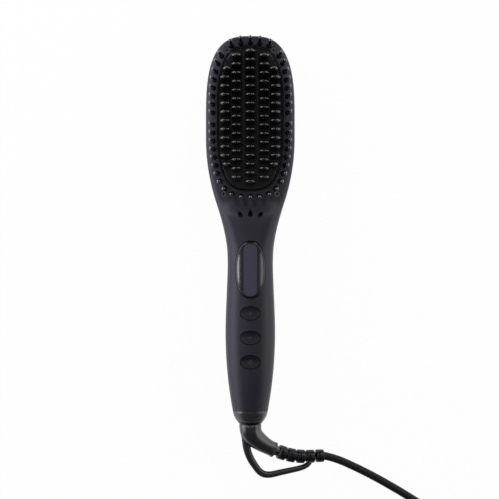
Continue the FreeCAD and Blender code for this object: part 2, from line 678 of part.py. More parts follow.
def bush_rib():
    """The rib of both shells that the swivel bush's flange bears on."""
    front = size("spigot_y") + size("bush_flange_depth") + 2 * size("fit_gap")
    middle = Vector(0, front, size("parting_height"))
    rib = Part.makeCylinder(size("tail_half") * 2, size("rib_depth"), middle, Vector(0, 1, 0))
    bore = Part.makeCylinder(size("bush_radius") + size("fit_gap"), size("rib_depth") * 3,
                             middle - Vector(0, size("rib_depth"), 0), Vector(0, 1, 0))
    return rib.cut(bore)


def seam_side(shift, side, depth):
    """The space on one side of the cap's seam, which leans towards the head above the parting plane."""
    low, reach = size("parting_height"), 2 * size("tail_half")
    y = size("seam_y") + shift
    corners = [Vector(-reach, y, low - depth), Vector(-reach, y, low),
               Vector(-reach, y + reach * size("seam_slope"), low + reach),
               Vector(-reach, y + side * reach, low + reach), Vector(-reach, y + side * reach, low - depth)]
    return Part.Face(Part.makePolygon(corners + corners[:1])).extrude(Vector(2 * reach, 0, 0))


def make_front_shell():
    """The front cover: opening for the plate, peg holes, window, button holes and bosses."""
    low, high = size("parting_height") - PAST_PLANE, 2 * size("parting_height") + PAST_PLANE
    bosses = [upright(size("boss_radius"), x, y, size("ring_top"), high) for x, y in screw_places()]
    bosses += [upright(size("board_boss"), x, y, size("board_top"), high) for x, y in board_screw_places()]
    hollow = body_half(size("wall"), 1).cut(bosses + [bush_rib()])
    opening = size("frame_gap") + size("frame_wall") + size("frame_clear")
    cutters = [plate_prism(opening, low, high)]
    for x, y in screw_places():
        cutters.append(upright(size("screw_shank") + size("screw_hole_gap"), x, y, low, high))
        cutters.append(upright(size("screw_head") + size("screw_recess_gap"), x, y, size("screw_seat"), high))
    cutters += [upright(size("small_shank"), x, y, low, size("board_bottom") + size("board_screw_length"))
                for x, y in board_screw_places()]
    cutters += outlet_prisms(size("fit_gap"), low, high)
    cutters += [button_prism(y, size("button_gap"), low, high) for y in button_places()]
    cutters.append(lens_prism(-size("lens_ledge"), low, high))
    seat = lens_prism(size("lens_gap"), low, high).cut(body_half(size("lens_depth"), 1))
    cutters.append(seam_side(size("seam_groove"), -1, PAST_PLANE))
    shell = body_half(0, 1).cut(hollow).cut(cutters).cut(seat).cut(peg_holes())
    return feature("front_shell", shell)


def rear_rib(y, half, top):
    """A cross rib standing on the rear cover."""
    thick = size("rib_depth") / 2
    return block((-half, y - thick, 0), (half, y + thick, top))


def make_rear_shell():
    """The rear cover: screw bosses, ribs under the heat shield and the ion generator."""
    standing = [upright(size("boss_radius"), x, y, 0, size("parting_height")) for x, y in screw_places()]
    for side in (-1, 1):
        standing.append(rear_rib(size("plate_y") + side * size("shield_rib_y"), size("head_half"),
                                 size("shield_height")))
        standing.append(rear_rib(size("ion_mid_y") + side * size("ion_rib_y"), size("head_half"),
                                 size("ion_bottom")))
    hollow = body_half(size("wall"), -1).cut(standing + [bush_rib()])
    bottom = size("screw_seat") - size("screw_length")
    pilots = [upright(size("screw_shank"), x, y, bottom, size("parting_height") + PAST_PLANE)
              for x, y in screw_places()]
    return feature("rear_shell", body_half(0, -1).cut(hollow).cut(pilots))


# ---------------------------------------------------------------- head: plate, blades and caps
def ellipse_wire(width, depth, z):
    """An ellipse round the blade's own axis at height z."""
    return Part.Wire(Part.Ellipse(Vector(0, 0, z), width / 2, depth / 2).toShape())


def blade_places():
    """Every bristle blade as (x, y, width): a centre column, two beside it, two shorter outer ones."""
    pitch = size("row_pitch")
    found = []
    columns = [(0, 16, 0), (size("column_mid"), 15, 0), (size("column_outer"), 12, 1)]
    for x, count, outer in columns:
        for row in range(count):
            y = size("plate_y") + pitch * (row - (count - 1) / 2) - size("bristle_shift")
            at_end = outer and row in (0, count - 1)
            width = size("blade_end_width") if at_end else size("blade_width")
            away = size("column_end") if at_end else x
            for side in ((-1, 1) if x else (1,)):
                found.append((side * away, y, width))
    return found


def blade_width_at(width, z):
    """A blade's width and depth at height z; both narrow towards the top."""
    share = (z - size("plate_top")) / (size("cap_top") - size("plate_top"))
    narrow = 1 + (size("blade_taper") - 1) * share
    return width * narrow, size("blade_depth") * narrow


MASTERS = {}


def copied(kind, make, x, y, width):
    """A copy of the blade or cap of this width, made once, moved to its place."""
    if (kind, width) not in MASTERS:
        MASTERS[kind, width] = make(width)
    piece = MASTERS[kind, width].copy()
    piece.translate(Vector(x, y, 0))
    return piece


def blade_master(width):
    foot, top = size("plate_top") - 0.4, size("blade_top")
    return Part.makeLoft([ellipse_wire(*blade_width_at(width, z), z) for z in (foot, top)], True, True)


def cap_master(width):
    """The cap on a blade: a sleeve over its top under a dome that is half an ellipsoid."""
    skirt, over = size("blade_top") - size("cap_cover"), size("cap_overhang")
    dome, shoulder = size("cap_dome"), size("cap_top") - size("cap_dome")
    low = [value + 2 * over for value in blade_width_at(width, skirt)]
    high = [value + 2 * over for value in blade_width_at(width, shoulder)]
    sleeve = Part.makeLoft([ellipse_wire(*low, skirt), ellipse_wire(*high, shoulder)], True, True)
    ball = Part.makeSphere(1, Vector(), Vector(0, 0, 1), 0, 90, 360)
    stretch = FreeCAD.Matrix()
    stretch.scale(high[0] / 2, high[1] / 2, dome)
    crown = ball.transformGeometry(stretch)
    crown.translate(Vector(0, 0, shoulder))
    return sleeve.fuse(crown).cut(blade_master(width))


def blade_solid(x, y, width):
    return copied("blade", blade_master, x, y, width)


def cap_solid(x, y, width):
    return copied("cap", cap_master, x, y, width)


def make_heating_plate():
    low, top, rounding = size("plate_bottom"), size("plate_top"), size("plate_round")
    plate = plate_prism(0, low, top)
    rim = [edge for edge in plate.Edges if edge.BoundBox.ZMin > top - 0.01]
    plate = plate.makeFillet(rounding, rim)
    bosses = [upright(size("clamp_boss"), x, y, size("clamp_top"), low) for x, y in clamp_screw_places()]
    plate = plate.fuse(bosses + [blade_solid(*place) for place in blade_places()])
    pilots = [upright(size("small_shank"), x, y, size("clamp_bottom"),
                      size("clamp_bottom") + size("clamp_screw_length")) for x, y in clamp_screw_places()]
    return feature("heating_plate", plate.cut(pilots))


def make_bristle_caps():
    return feature("bristle_caps", Part.makeCompound([cap_solid(*place) for place in blade_places()]))


def half_wall_space(inset):
    """The head's inner outline at the parting plane, as a tall column."""
    y = size("plate_y")
    reach = size("plate_half_length") * 2
    return oval_prism(half_width_at(y) - inset, reach, 8, (0, y), 0, 3 * size("parting_height"))


def make_plate_frame():
    """The heat-proof frame that carries the plate and keeps it off the covers."""
    wall_in = size("frame_gap")
    wall_out = wall_in + size("frame_wall")
    flange_top, seat = size("parting_height"), size("plate_bottom")
    flange_low = flange_top - size("frame_flange_depth")
    wall = plate_band(wall_in, wall_out, flange_low, size("frame_top"))
    flange = plate_band(wall_in, size("frame_flange"), flange_low, flange_top)
    ledge = plate_band(-size("frame_ledge"), wall_out, seat - size("frame_ledge_depth"), seat)
    frame = wall.fuse([flange, ledge])
    edge = half_wall_space(size("wall") + size("fit_gap"))
    frame = frame.common(edge)
    notch = size("boss_radius") + size("screw_hole_gap")
    return feature("plate_frame", frame.cut([upright(notch, x, y, 0, flange_top) for x, y in screw_places()]))


# ---------------------------------------------------------------- head: heater
def clamp_screw_places():
    x, y = size("clamp_screw_x"), size("clamp_screw_y")
    return [(side * x, size("plate_y") + end * y) for side in (-1, 1) for end in (-1, 1)]


SIDES = (("left", "-1"), ("right", "1"))
ENDS = (("low", "-1"), ("high", "1"))


def make_heater():
    """Two heating elements pressed against the plate by a sprung clamp, with its fuse and sensor."""
    elements = [box("ptc_" + end, ("-ptc_half_width", "2 * ptc_half_width"),
                    ("plate_y + (%s * (ptc_gap + ptc_length) - ptc_length) / 2" % way, "ptc_length"),
                    ("clamp_top", "ptc_depth")) for end, way in ENDS]
    group("ptc_elements", elements)
    sheet_metal = centred_box("clamp_sheet", "0", "clamp_half_width", "plate_y", "clamp_half_length",
                              "clamp_bottom", "clamp_depth")
    holes, screws = [], []
    for side, across in SIDES:
        for end, along in ENDS:
            x, y = "%s * clamp_screw_x" % across, "plate_y + %s * clamp_screw_y" % along
            name = side + "_" + end
            holes.append(rod("clamp_hole_" + name, "small_shank + screw_hole_gap", "3 * clamp_depth", x, y,
                             "clamp_bottom - clamp_depth"))
            screws.append(screw("clamp_screw_" + name, x, y, "clamp_bottom", "small_head", "small_head_depth",
                                "small_shank", "clamp_screw_length", up=False))
    without("heater_clamp", sheet_metal, *holes)
    group("clamp_screws", screws)
    rod("thermal_fuse", "fuse_radius", "fuse_length", "-fuse_length / 2", "plate_y + fuse_y",
        "clamp_bottom - fuse_radius - touch_gap", (1, 0, 0))
    centred_box("ntc_sensor", "0", "sensor_width / 2", "plate_y - sensor_y", "sensor_length / 2",
                "clamp_bottom - sensor_depth", "sensor_depth")


def make_heat_shield():
    """An insulating sheet on the rear cover's ribs, its corners cut off."""
    x, y, corner = "shield_half_width", "shield_half_length", "shield_corner"
    outline = [("-%s + %s" % (x, corner), "-" + y), ("%s - %s" % (x, corner), "-" + y),
               (x, "-%s + %s" % (y, corner)), (x, "%s - %s" % (y, corner)),
               ("%s - %s" % (x, corner), y), ("-%s + %s" % (x, corner), y),
               ("-" + x, "%s - %s" % (y, corner)), ("-" + x, "-%s + %s" % (y, corner))]
    body = padded("heat_shield", "XY_Plane", outline, "shield_depth")
    moved_to(body, 0, "plate_y", "shield_height")


# ---------------------------------------------------------------- neck: ion generator and outlets
def make_ion_generator():
    centred_box("ion_module", "0", "ion_half_width", "ion_mid_y", "ion_half_length", "ion_bottom",
                "ion_height")
    length = "needle_top - ion_top"
    group("ion_needles", [
        rod("needle_middle", "needle_radius", length, "0", "outlet_mid_y", "ion_top"),
        rod("needle_left", "needle_radius", length, "-outlet_side_x", "outlet_side_mid_y", "ion_top"),
        rod("needle_right", "needle_radius", length, "outlet_side_x", "outlet_side_mid_y", "ion_top")])


def make_outlet_insert():
    """Three drop-shaped spouts on one plate behind the neck."""
    high = 2 * size("parting_height")
    low = size("parting_height")
    wall, gap = size("wall"), size("fit_gap")
    back = wall + gap + size("outlet_plate_depth")
    half, long_half = size("outlet_plate_half"), size("outlet_plate_length") / 2
    middle = size("outlet_side_mid_y") + size("outlet_plate_shift")
    window = block((-half, middle - long_half, low), (half, middle + long_half, high))
    plate = body_half(wall + gap, 1).common(window).cut(body_half(back, 1))
    spouts = [column.common(body_half(size("outlet_sink"), 1)).cut(body_half(back, 1))
              for column in outlet_prisms(0, low, high)]
    holes = outlet_prisms(-size("outlet_wall"), low, high)
    return feature("outlet_insert", plate.fuse(spouts).cut(holes))


# ---------------------------------------------------------------- handle: window, board and buttons
def make_display():
    """The tinted window, its rim rounded, and the display under it."""
    lens = lens_prism(0, size("parting_height"), 2 * size("parting_height"))
    lens = lens.common(lens_crown())
    middle = size("parting_height") + size("waist_front") / 2
    upper = [edge for edge in lens.Edges if edge.BoundBox.ZMin > middle]
    lens = lens.makeFillet(size("lens_round"), upper)
    feature("display_lens", lens.cut(body_half(size("lens_depth"), 1)))
    centred_box("display_module", "0", "display_half_width", "lens_y", "display_half_length", "board_top",
                "display_height")


def hung(name, middle_x, half_x, middle_y, half_y, height):
    """A component on the rear face of the board."""
    return centred_box(name, middle_x, half_x, middle_y, half_y, "board_bottom - " + height, height)


def make_board():
    """The control board, screwed up into the front cover, with what is soldered to it."""
    middle = "(board_front_y + board_rear_y) / 2"
    blank = centred_box("board_blank", "0", "board_half_width", middle, "(board_front_y - board_rear_y) / 2",
                        "board_bottom", "board_depth")
    corners = [("-board_screw_front_x", "board_front_y - board_screw_inset"),
               ("board_screw_front_x", "board_front_y - board_screw_inset"),
               ("-board_screw_rear_x", "board_rear_y + board_screw_inset"),
               ("board_screw_rear_x", "board_rear_y + board_screw_inset")]
    holes = [rod("board_hole%d" % index, "small_shank + screw_hole_gap", "3 * board_depth", x, y,
                 "board_bottom - board_depth") for index, (x, y) in enumerate(corners)]
    without("control_board", blank, *holes)
    group("board_screws", [screw("board_screw%d" % index, x, y, "board_bottom", "small_head",
                                 "small_head_depth", "small_shank", "board_screw_length", up=False)
                           for index, (x, y) in enumerate(corners)])
    group("board_components", [
        hung("relay", "0", "relay_half_width", "lens_y + relay_y", "relay_half_length", "relay_height"),
        hung("triac", "triac_x", "triac_half_width", "lens_y - triac_y", "triac_half_length", "triac_height"),
        rod("capacitor", "capacitor_radius", "relay_height", "-triac_x", "lens_y - triac_y",
            "board_bottom - relay_height"),
        hung("processor", "0", "processor_half", "first_button_y - button_pitch / 2", "processor_half",
             "processor_height"),
        hung("connector", "0", "connector_half_width", "first_button_y - 1.5 * button_pitch",
             "connector_half_length", "connector_height")])


def button_dish(y, depth):
    """The tool that hollows a button's face along the body and leaves its rim level with the cover."""
    hollow = size("button_half_length") ** 2 / (2 * depth)
    ridge = 1 / (1 / size("crown_radius") - 2 * depth / size("button_half_width") ** 2)
    surface = size("parting_height") + front_at(y) - size("button_sunk")
    return Part.makeTorus(ridge + hollow, hollow, Vector(0, y, surface - depth - ridge), Vector(0, 1, 0))


def make_buttons():
    """Three oval buttons, each with the stem of the tact switch under it."""
    housings = []
    high = 2 * size("parting_height")
    kinds = (("up", "dish_depth"), ("down", "dish_depth"), ("power", "power_dish_depth"))
    for index, ((name, dish), y) in enumerate(zip(kinds, button_places())):
        place = "first_button_y - %d * button_pitch" % index
        base = size("button_base")
        flange = button_prism(y, size("button_flange"), base, base + size("button_flange_depth"))
        key = button_prism(y, 0, base, high).common(body_half(size("button_sunk"), 1))
        post = upright(size("button_post"), 0, y, size("switch_stem_top"), base)
        feature("button_" + name, key.fuse([flange, post]).cut(button_dish(y, size(dish))))
        rod("switch_stem_" + name, "switch_stem", "switch_stem_length", "0", place,
            "switch_stem_top - switch_stem_length")
        case = centred_box("switch_case_" + name, "0", "switch_half", place, "switch_half", "board_top",
                           "switch_height")
        bore = rod("switch_bore_" + name, "switch_stem + switch_stem_gap", "switch_height", "0", place,
                   "switch_stem_top - switch_stem_length - button_travel - touch_gap")
        housings.append(without("tact_switch_" + name, case, bore))
    group("tact_switches", housings)


# ---------------------------------------------------------------- tail: cap and swivel
def make_tail_cap():
    """The glossy end ring, plugged into both covers; its upper edge leans towards the head."""
    spigot = "tail_half - wall - fit_gap"
    ring = turned("cap_ring", [
        ("seam_y + cap_lip", "cap_lip_radius"), ("seam_y", "tail_half"),
        ("seam_y - cap_band / 2", "cap_round"), ("band_y", "cap_edge"),
        ("tail_y", "cap_rim"), ("tail_y", "cap_hole"), ("tail_y + cap_end_depth", "cap_hole"),
        ("tail_y + cap_end_depth", "spigot_inner"), ("spigot_y", "spigot_inner"),
        ("spigot_y", spigot), ("seam_y + cap_lip", spigot)])
    core = Part.makeCylinder(size("tail_half") - size("wall") - size("fit_gap"), 3 * size("tail_half"),
                             Vector(0, size("seam_y") - PAST_PLANE, size("parting_height")), Vector(0, 1, 0))
    room = feature("cover_room", seam_side(0, 1, 2 * size("tail_half")).cut(core))
    without("tail_cap", ring, room)


def make_swivel():
    """A bush trapped in the tail, and the stem that turns in it with its rings and clip."""
    flange_front = "spigot_y + fit_gap + bush_flange_depth"
    turned("swivel_bush", [
        ("bush_front_y", "stem_radius + bush_bore_gap"), ("bush_end_y", "stem_radius + bush_bore_gap"),
        ("bush_end_y", "bush_radius"), ("spigot_y + fit_gap", "bush_radius"),
        ("spigot_y + fit_gap", "bush_flange"), (flange_front, "bush_flange"),
        (flange_front, "bush_radius"), ("bush_front_y", "bush_radius")])
    groove = "stem_radius - clip_groove"
    turned("swivel_stem", [
        ("stem_front_y", "stem_bore"), ("tail_y + touch_gap", "stem_bore"),
        ("tail_y + touch_gap", "stem_core"), ("guard_y", "stem_core"),
        ("guard_y", "stem_shoulder"), ("stem_shoulder_y", "stem_shoulder"),
        ("stem_shoulder_y", "stem_radius"), ("clip_y", "stem_radius"),
        ("clip_y", groove), ("clip_y + clip_depth", groove),
        ("clip_y + clip_depth", "stem_radius"), ("stem_front_y", "stem_radius")])
    turned("swivel_clip", [
        ("clip_y", groove), ("clip_y", "clip_radius"), ("clip_y + clip_depth", "clip_radius"),
        ("clip_y + clip_depth", groove)])
    rings = []
    for index, name in enumerate(("live", "neutral")):
        front = "stem_front_y - slip_ring_inset - %d * slip_ring_pitch" % index
        blank = rod("slip_blank_" + name, "slip_ring_radius", "slip_ring_width", "0", front, "parting_height",
                    (0, -1, 0))
        bore = rod("slip_bore_" + name, "stem_radius", "3 * slip_ring_width", "0",
                   front + " + slip_ring_width", "parting_height", (0, -1, 0))
        rings.append(without("slip_ring_" + name, blank, bore))
    group("slip_rings", rings)


def make_contact_springs():
    """Two sprung fingers from the board that ride over the slip rings."""
    springs = []
    ride = "parting_height + slip_ring_radius + spring_gap"
    for index, side in enumerate(("-1", "1")):
        reach = "stem_front_y - slip_ring_inset - %d * slip_ring_pitch - slip_ring_width" % index
        foot, step = "board_rear_y + spring_foot", "board_rear_y + spring_step"
        outline = [("board_top", foot), ("board_top + spring_depth", foot)]
        outline += [("board_top + spring_depth", step), (ride + " + spring_depth", "board_rear_y"),
                    (ride + " + spring_depth", reach), (ride, reach), (ride, "board_rear_y - spring_lean"),
                    ("board_top", step + " - spring_lean")]
        corners = [(along, height) for height, along in outline]
        body = doc.addObject("PartDesign::Body", "spring_body%d" % index)
        sketch = closed_sketch(body, "spring_outline%d" % index, "YZ_Plane", corners)
        pad = body.newObject("PartDesign::Pad", "spring_pad%d" % index)
        pad.Profile = sketch
        pad.Midplane = True
        bind(pad, {"Length": "spring_width"})
        springs.append(moved_to(body, "%s * spring_x" % side, 0, 0))
    group("contact_springs", springs)


# ---------------------------------------------------------------- routes and tubes
def rounded_wire(points, share=0.45):
    """Straight runs joined by tangent arcs as large as the runs allow; also the arcs' radii."""
    edges, radii, start = [], [], points[0]
    for before, corner, after in zip(points, points[1:], points[2:]):
        incoming, outgoing = (corner - before), (after - corner)
        reach = share * min(incoming.Length, outgoing.Length)
        turn = incoming.getAngle(outgoing)
        incoming.normalize()
        outgoing.normalize()
        radii.append(reach / math.tan(turn / 2))
        entry, leave = corner - incoming * reach, corner + outgoing * reach
        inward = (outgoing - incoming).normalize()
        bow = radii[-1] / math.cos(turn / 2) - radii[-1]
        edges.append(Part.LineSegment(start, entry).toShape())
        edges.append(Part.Arc(entry, corner + inward * bow, leave).toShape())
        start = leave
    edges.append(Part.LineSegment(start, points[-1]).toShape())
    return Part.Wire(edges), radii


def tube(name, points, radius):
    """A round tube along a route, with its volume compared with section times length."""
    wire, radii = rounded_wire(points)
    way = (points[1] - points[0]).normalize()
    ring = Part.Wire(Part.Circle(points[0], way, radius).toShape())
    solid = wire.makePipeShell([ring], True, True)
    expected = math.pi * radius ** 2 * wire.Length
    print("%s: length %.1f, radii %s, volume %.4f of expected"
          % (name, wire.Length, ", ".join("%.0f" % value for value in radii), solid.Volume / expected))
    return solid


def make_heater_leads():
    """Two wires from the heating element to the board, under the frame and over the generator."""
    solids = []
    for side in (-1, 1):
        points = [Vector(side * size("heater_lead_x"), measure(y), measure(z)) for y, z in HEATER_LEAD_ROUTE]
        solids.append(tube("heater_lead", points, size("heater_lead_radius")))
    return feature("heater_leads", Part.makeCompound(solids))


# ---------------------------------------------------------------- cord guard and loop
def guard_frame(u, v):
    """A point of the guard's own plane, before the guard is tilted about the swivel axis."""
    return Vector(u, size("tail_y") + v, size("parting_height"))


def tilted(shape):
    turned_shape = shape.copy()
    turned_shape.rotate(Vector(0, 0, size("parting_height")), Vector(0, 1, 0), size("guard_tilt"))
    return turned_shape


def guard_line():
    """The guard's centre line, from the neck to the end of the relief."""
    line = Part.BSplineCurve()
    line.interpolate([guard_frame(u, v) for u, v in GUARD_ROUTE])
    return line


def line_point(line, length):
    """Point and heading at a length along a line."""
    parameter = line.parameterAtDistance(length, line.FirstParameter)
    return line.value(parameter), line.tangent(parameter)[0]


def disc(point, way, radius):
    return Part.Wire(Part.Circle(point, way, radius).toShape())


def make_elbow(line):
    """The smooth elbow, thick at the neck and slimmer at its end, where it has a raised lip."""
    big, small, reach = size("elbow_radius"), size("elbow_tip_radius"), size("elbow_length")
    neck_top = Vector(0, size("guard_y"), size("parting_height"))
    down = Vector(0, -1, 0)
    flare_start, flare_end = (Vector(0, size("tail_y") - size(name), size("parting_height"))
                              for name in ("flare_start", "flare_end"))
    neck = Part.makeCylinder(size("neck_radius"), neck_top.y - flare_end.y, neck_top, down)
    rings = [disc(flare_start, down, size("neck_radius")), disc(flare_end, down, big)]
    for step in range(ELBOW_STEPS + 1):
        share = step / ELBOW_STEPS
        point, heading = line_point(line, reach * share)
        rings.append(disc(point, heading, hermite(share, big, small, 0, 0, reach)))
    point, heading = line_point(line, reach - size("lip_length"))
    lip = Part.makeCylinder(small + size("lip_proud"), size("lip_length"), point, heading)
    lip = lip.makeFillet(size("lip_round"), [edge for edge in lip.Edges if edge.Closed])
    return neck.fuse([Part.makeLoft(rings, True, False, False, 5), lip])


def make_rib(line, index, radius):
    """One rounded rib of the relief, with a slot in its upper and lower side."""
    length = size("rib_first") + size("rib_pitch") * index
    point, way = line_point(line, length)
    rib = Part.makeCylinder(radius, size("rib_length"), point - way * (size("rib_length") / 2), way)
    rib = rib.makeFillet(size("rib_round"), [edge for edge in rib.Edges if edge.Closed])
    half, wide = size("rib_slot_width") / 2, size("rib_slot_half")
    slots = []
    for low in (-radius, radius - size("rib_slot_depth")):
        slot = block((-half, -wide, low), (half, wide, low + size("rib_slot_depth")))
        slot.Placement = FreeCAD.Placement(point - way * size("rib_slot_shift"),
                                           Rotation(Vector(1, 0, 0), way)).multiply(slot.Placement)
        slots.append(slot)
    return rib.cut(slots)


def make_cord_guard():
    """Elbow and ribbed relief, moulded in one."""
    line = guard_line()
    reach = size("elbow_length")
    start, heading = line_point(line, reach - size("lip_length"))
    path = line.copy()
    lip_start = line.parameterAtDistance(reach - size("lip_length"), line.FirstParameter)
    path.segment(lip_start, line.LastParameter)
    core = Part.Wire(path.toShape()).makePipeShell([disc(start, heading, size("relief_core"))], True, True)
    pieces = [make_elbow(line), core]
    count = int(size("rib_count"))
    for index in range(count):
        share = index / (count - 1)
        radius = size("rib_start_radius") + (size("rib_end_radius") - size("rib_start_radius")) * share
        pieces.append(make_rib(line, index, radius))
    guard = pieces[0].fuse(pieces[1:])
    core_socket = Part.makeCylinder(size("stem_core"), size("guard_y") - size("tail_y") - size("touch_gap"),
                                    Vector(0, size("guard_y"), size("parting_height")), Vector(0, -1, 0))
    return tilted(guard.cut(core_socket))


def make_hanging_loop(guard):
    """The strap that leaves the neck and comes back to the relief."""
    points = [guard_frame(u, v) for u, v in LOOP_ROUTE]
    line = Part.BSplineCurve()
    line.interpolate(points)
    sections = []
    last = len(points) - 1
    for index, point in enumerate(points):
        share = index / last
        way = line.tangent(line.parameter(point))[0]
        across = size("loop_start_half") + (size("loop_end_half") - size("loop_start_half")) * share
        thick = size("loop_start_thick") + (size("loop_end_thick") - size("loop_start_thick")) * share
        oval = Part.Ellipse(Vector(), max(across, thick + LEAST_OVAL), min(across, thick)).toShape()
        turn = Rotation(Vector(0, 0, 1).cross(way), Vector(0, 0, 1), way, "ZXY")
        oval.Placement = FreeCAD.Placement(point, turn)
        sections.append(Part.Wire(oval))
    strap = tilted(Part.makeLoft(sections, True, False, False, 5))
    return strap.cut(guard)


def make_guard_and_loop():
    guard = make_cord_guard()
    feature("cord_guard", guard)
    loop = make_hanging_loop(guard)
    loop = max(loop.Solids, key=lambda solid: solid.Volume)
    feature("hanging_loop", loop)
    return guard


# ---------------------------------------------------------------- cord, coil, tie and plug
def laid(route):
    """The points of a route on the table, which is measured from the body's tail."""
    return [Vector(x, size("tail_y") + y, z) for x, y, z in route]


def coil_middle():
    """The coil's centre: its outer turn carries on from the lead's last run."""
    before, end = laid(LEAD_ROUTE)[-2:]
    way = Vector(end.x - before.x, end.y - before.y, 0).normalize()
    return Vector(end.x, end.y, 0) + Vector(way.y, -way.x, 0) * size("coil_turn_radius")


def make_coil():
    """The outer shape of the cord's put-away coil, and the tie round it."""
    radius, thick = size("cord_radius"), 2 * size("cord_radius")
    outer = size("coil_turn_radius") + radius
    inner = outer - thick * size("coil_turns_wide") - size("coil_jog")
    low = size("tie_depth")
    height = thick * size("coil_layers")
    middle = coil_middle() + Vector(0, 0, low)
    coil = Part.makeCylinder(outer, height, middle).cut(Part.makeCylinder(inner, height, middle))
    rims = [edge for edge in coil.Edges if edge.Closed]
    coil = coil.makeFillet(size("coil_fillet"), rims)
    feature("cord_coil", coil)
    depth = size("tie_depth")
    half = size("tie_width") / 2
    band = block((inner - depth, -half, 0), (outer + depth, half, height + 2 * low))
    band = band.makeFillet(size("coil_fillet") - depth, [edge for edge in band.Edges if along_y(edge)])
    band.rotate(Vector(), Vector(0, 0, 1), size("tie_angle"))
    band.translate(coil_middle())
    feature("cord_tie", band.cut(coil))
    return coil


def along_y(edge):
    return abs(abs(edge.tangentAt(edge.FirstParameter).y) - 1) < 1e-6


def make_cord(coil, guard):
    """The cord's two free stretches: from the guard to the coil, and from the coil to the plug."""
    line = guard_line()
    guard_end = tilted(Part.Vertex(line.value(line.LastParameter))).Point
    lead = tube("lead", [guard_end] + laid(LEAD_ROUTE), size("cord_radius"))
    middle = coil_middle()
    leave = math.radians(size("coil_leave_angle"))
    out = middle + Vector(math.cos(leave), math.sin(leave), 0) * size("coil_turn_radius")
    start = Vector(out.x, out.y, size("tie_depth") + 3 * size("cord_radius"))
    tail = tube("tail", [start] + laid(TAIL_ROUTE), size("cord_radius"))
    trimmed = [lead.cut([coil, guard]), tail.cut(coil)]
    pieces = [max(piece.Solids, key=lambda solid: solid.Volume) for piece in trimmed]
    feature("power_cord", Part.makeCompound(pieces))


def make_plug():
    """A two-blade plug at the end of the cord, lying flat."""
    before, end = laid(TAIL_ROUTE)[-2:]
    way = Vector(end.x - before.x, end.y - before.y, 0).normalize()
    relief_end = size("plug_relief_length")
    length, half, high = size("plug_length"), size("plug_width") / 2, size("plug_height") / 2
    body = block((relief_end, -half, -high), (relief_end + length, half, high))
    rear_edges = [edge for edge in body.Edges if edge.BoundBox.XMax < relief_end + length - 0.01]
    body = body.makeFillet(size("plug_corner"), rear_edges)
    relief = Part.makeCone(size("plug_relief_tip"), size("plug_relief_root"), relief_end + 2,
                           Vector(), Vector(1, 0, 0))
    place = FreeCAD.Placement(end, Rotation(Vector(1, 0, 0), way))
    plug = body.fuse(relief)
    pins = []
    for side in (-1, 1):
        y = side * size("blade_pin_spacing") / 2
        depth, tall = size("blade_pin_depth") / 2, size("blade_pin_height") / 2
        pins.append(block((relief_end + length, y - depth, -tall),
                          (relief_end + length + size("blade_pin_length"), y + depth, tall)))
    feature("plug_body", plug, place)
    feature("plug_blades", Part.makeCompound(pins), place)


# ---------------------------------------------------------------- fasteners of the head
def make_head_screws():
    screws = []
    for side, across in SIDES:
        for end, x, y in (("high", "head_screw_x", "head_screw_y"), ("low", "foot_screw_x", "foot_screw_y")):
            screws.append(screw("head_screw_%s_%s" % (side, end), "%s * %s" % (across, x), y, "screw_seat",
                                "screw_head", "screw_head_depth", "screw_shank", "screw_length"))
    group("head_screws", screws)


NODES = [
    "front_shell", "rear_shell", "tail_cap", "head_screws",
    "heating_plate", "bristle_caps", "plate_frame", "peg_ring",
    "ptc_elements", "heater_clamp", "clamp_screws", "thermal_fuse", "ntc_sensor", "heat_shield",
    "heater_leads", "ion_module", "ion_needles", "outlet_insert",
    "display_lens", "display_module", "control_board", "board_screws", "board_components", "tact_switches",
    "button_up", "button_down", "button_power",
    "switch_stem_up", "switch_stem_down", "switch_stem_power",
    "swivel_bush", "swivel_stem", "swivel_clip", "slip_rings", "contact_springs",
    "cord_guard", "hanging_loop", "power_cord", "cord_coil", "cord_tie", "plug_body", "plug_blades",
]


def build_all():
    make_front_shell()
    make_rear_shell()
    make_tail_cap()
    make_head_screws()
    make_heating_plate()
    make_bristle_caps()
    make_plate_frame()
    make_peg_ring()
    make_heater()
    make_heat_shield()
    make_heater_leads()
    make_ion_generator()
    make_outlet_insert()
    make_display()
    make_board()
    make_buttons()
    make_swivel()
    make_contact_springs()
    make_cord(make_coil(), make_guard_and_loop())
    make_plug()


def check_and_write():
    """Stop on any failed object or bad shape, then write one STEP file a node."""
    doc.recompute()
    failed = [item.Name for item in doc.Objects if {"Invalid", "Error"} & set(item.State)]
    if failed:
        raise RuntimeError("failed objects: %s" % failed)
    os.makedirs("parts", exist_ok=True)
    for name in NODES:
        shape = doc.getObject(name).Shape
        if shape.isNull() or not shape.isValid() or not shape.Solids:
            raise RuntimeError("bad shape: " + name)
        shape.exportStep("parts/%s.step" % name)
        print("%-18s %3d solids %12.1f mm3" % (name, len(shape.Solids), shape.Volume))


build_all()
check_and_write()
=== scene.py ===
"""Dressing for the heated hair straightening brush, from the cord's coil to the last screw.

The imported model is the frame; everything is in metres and in the frame's own place.
"""
import math

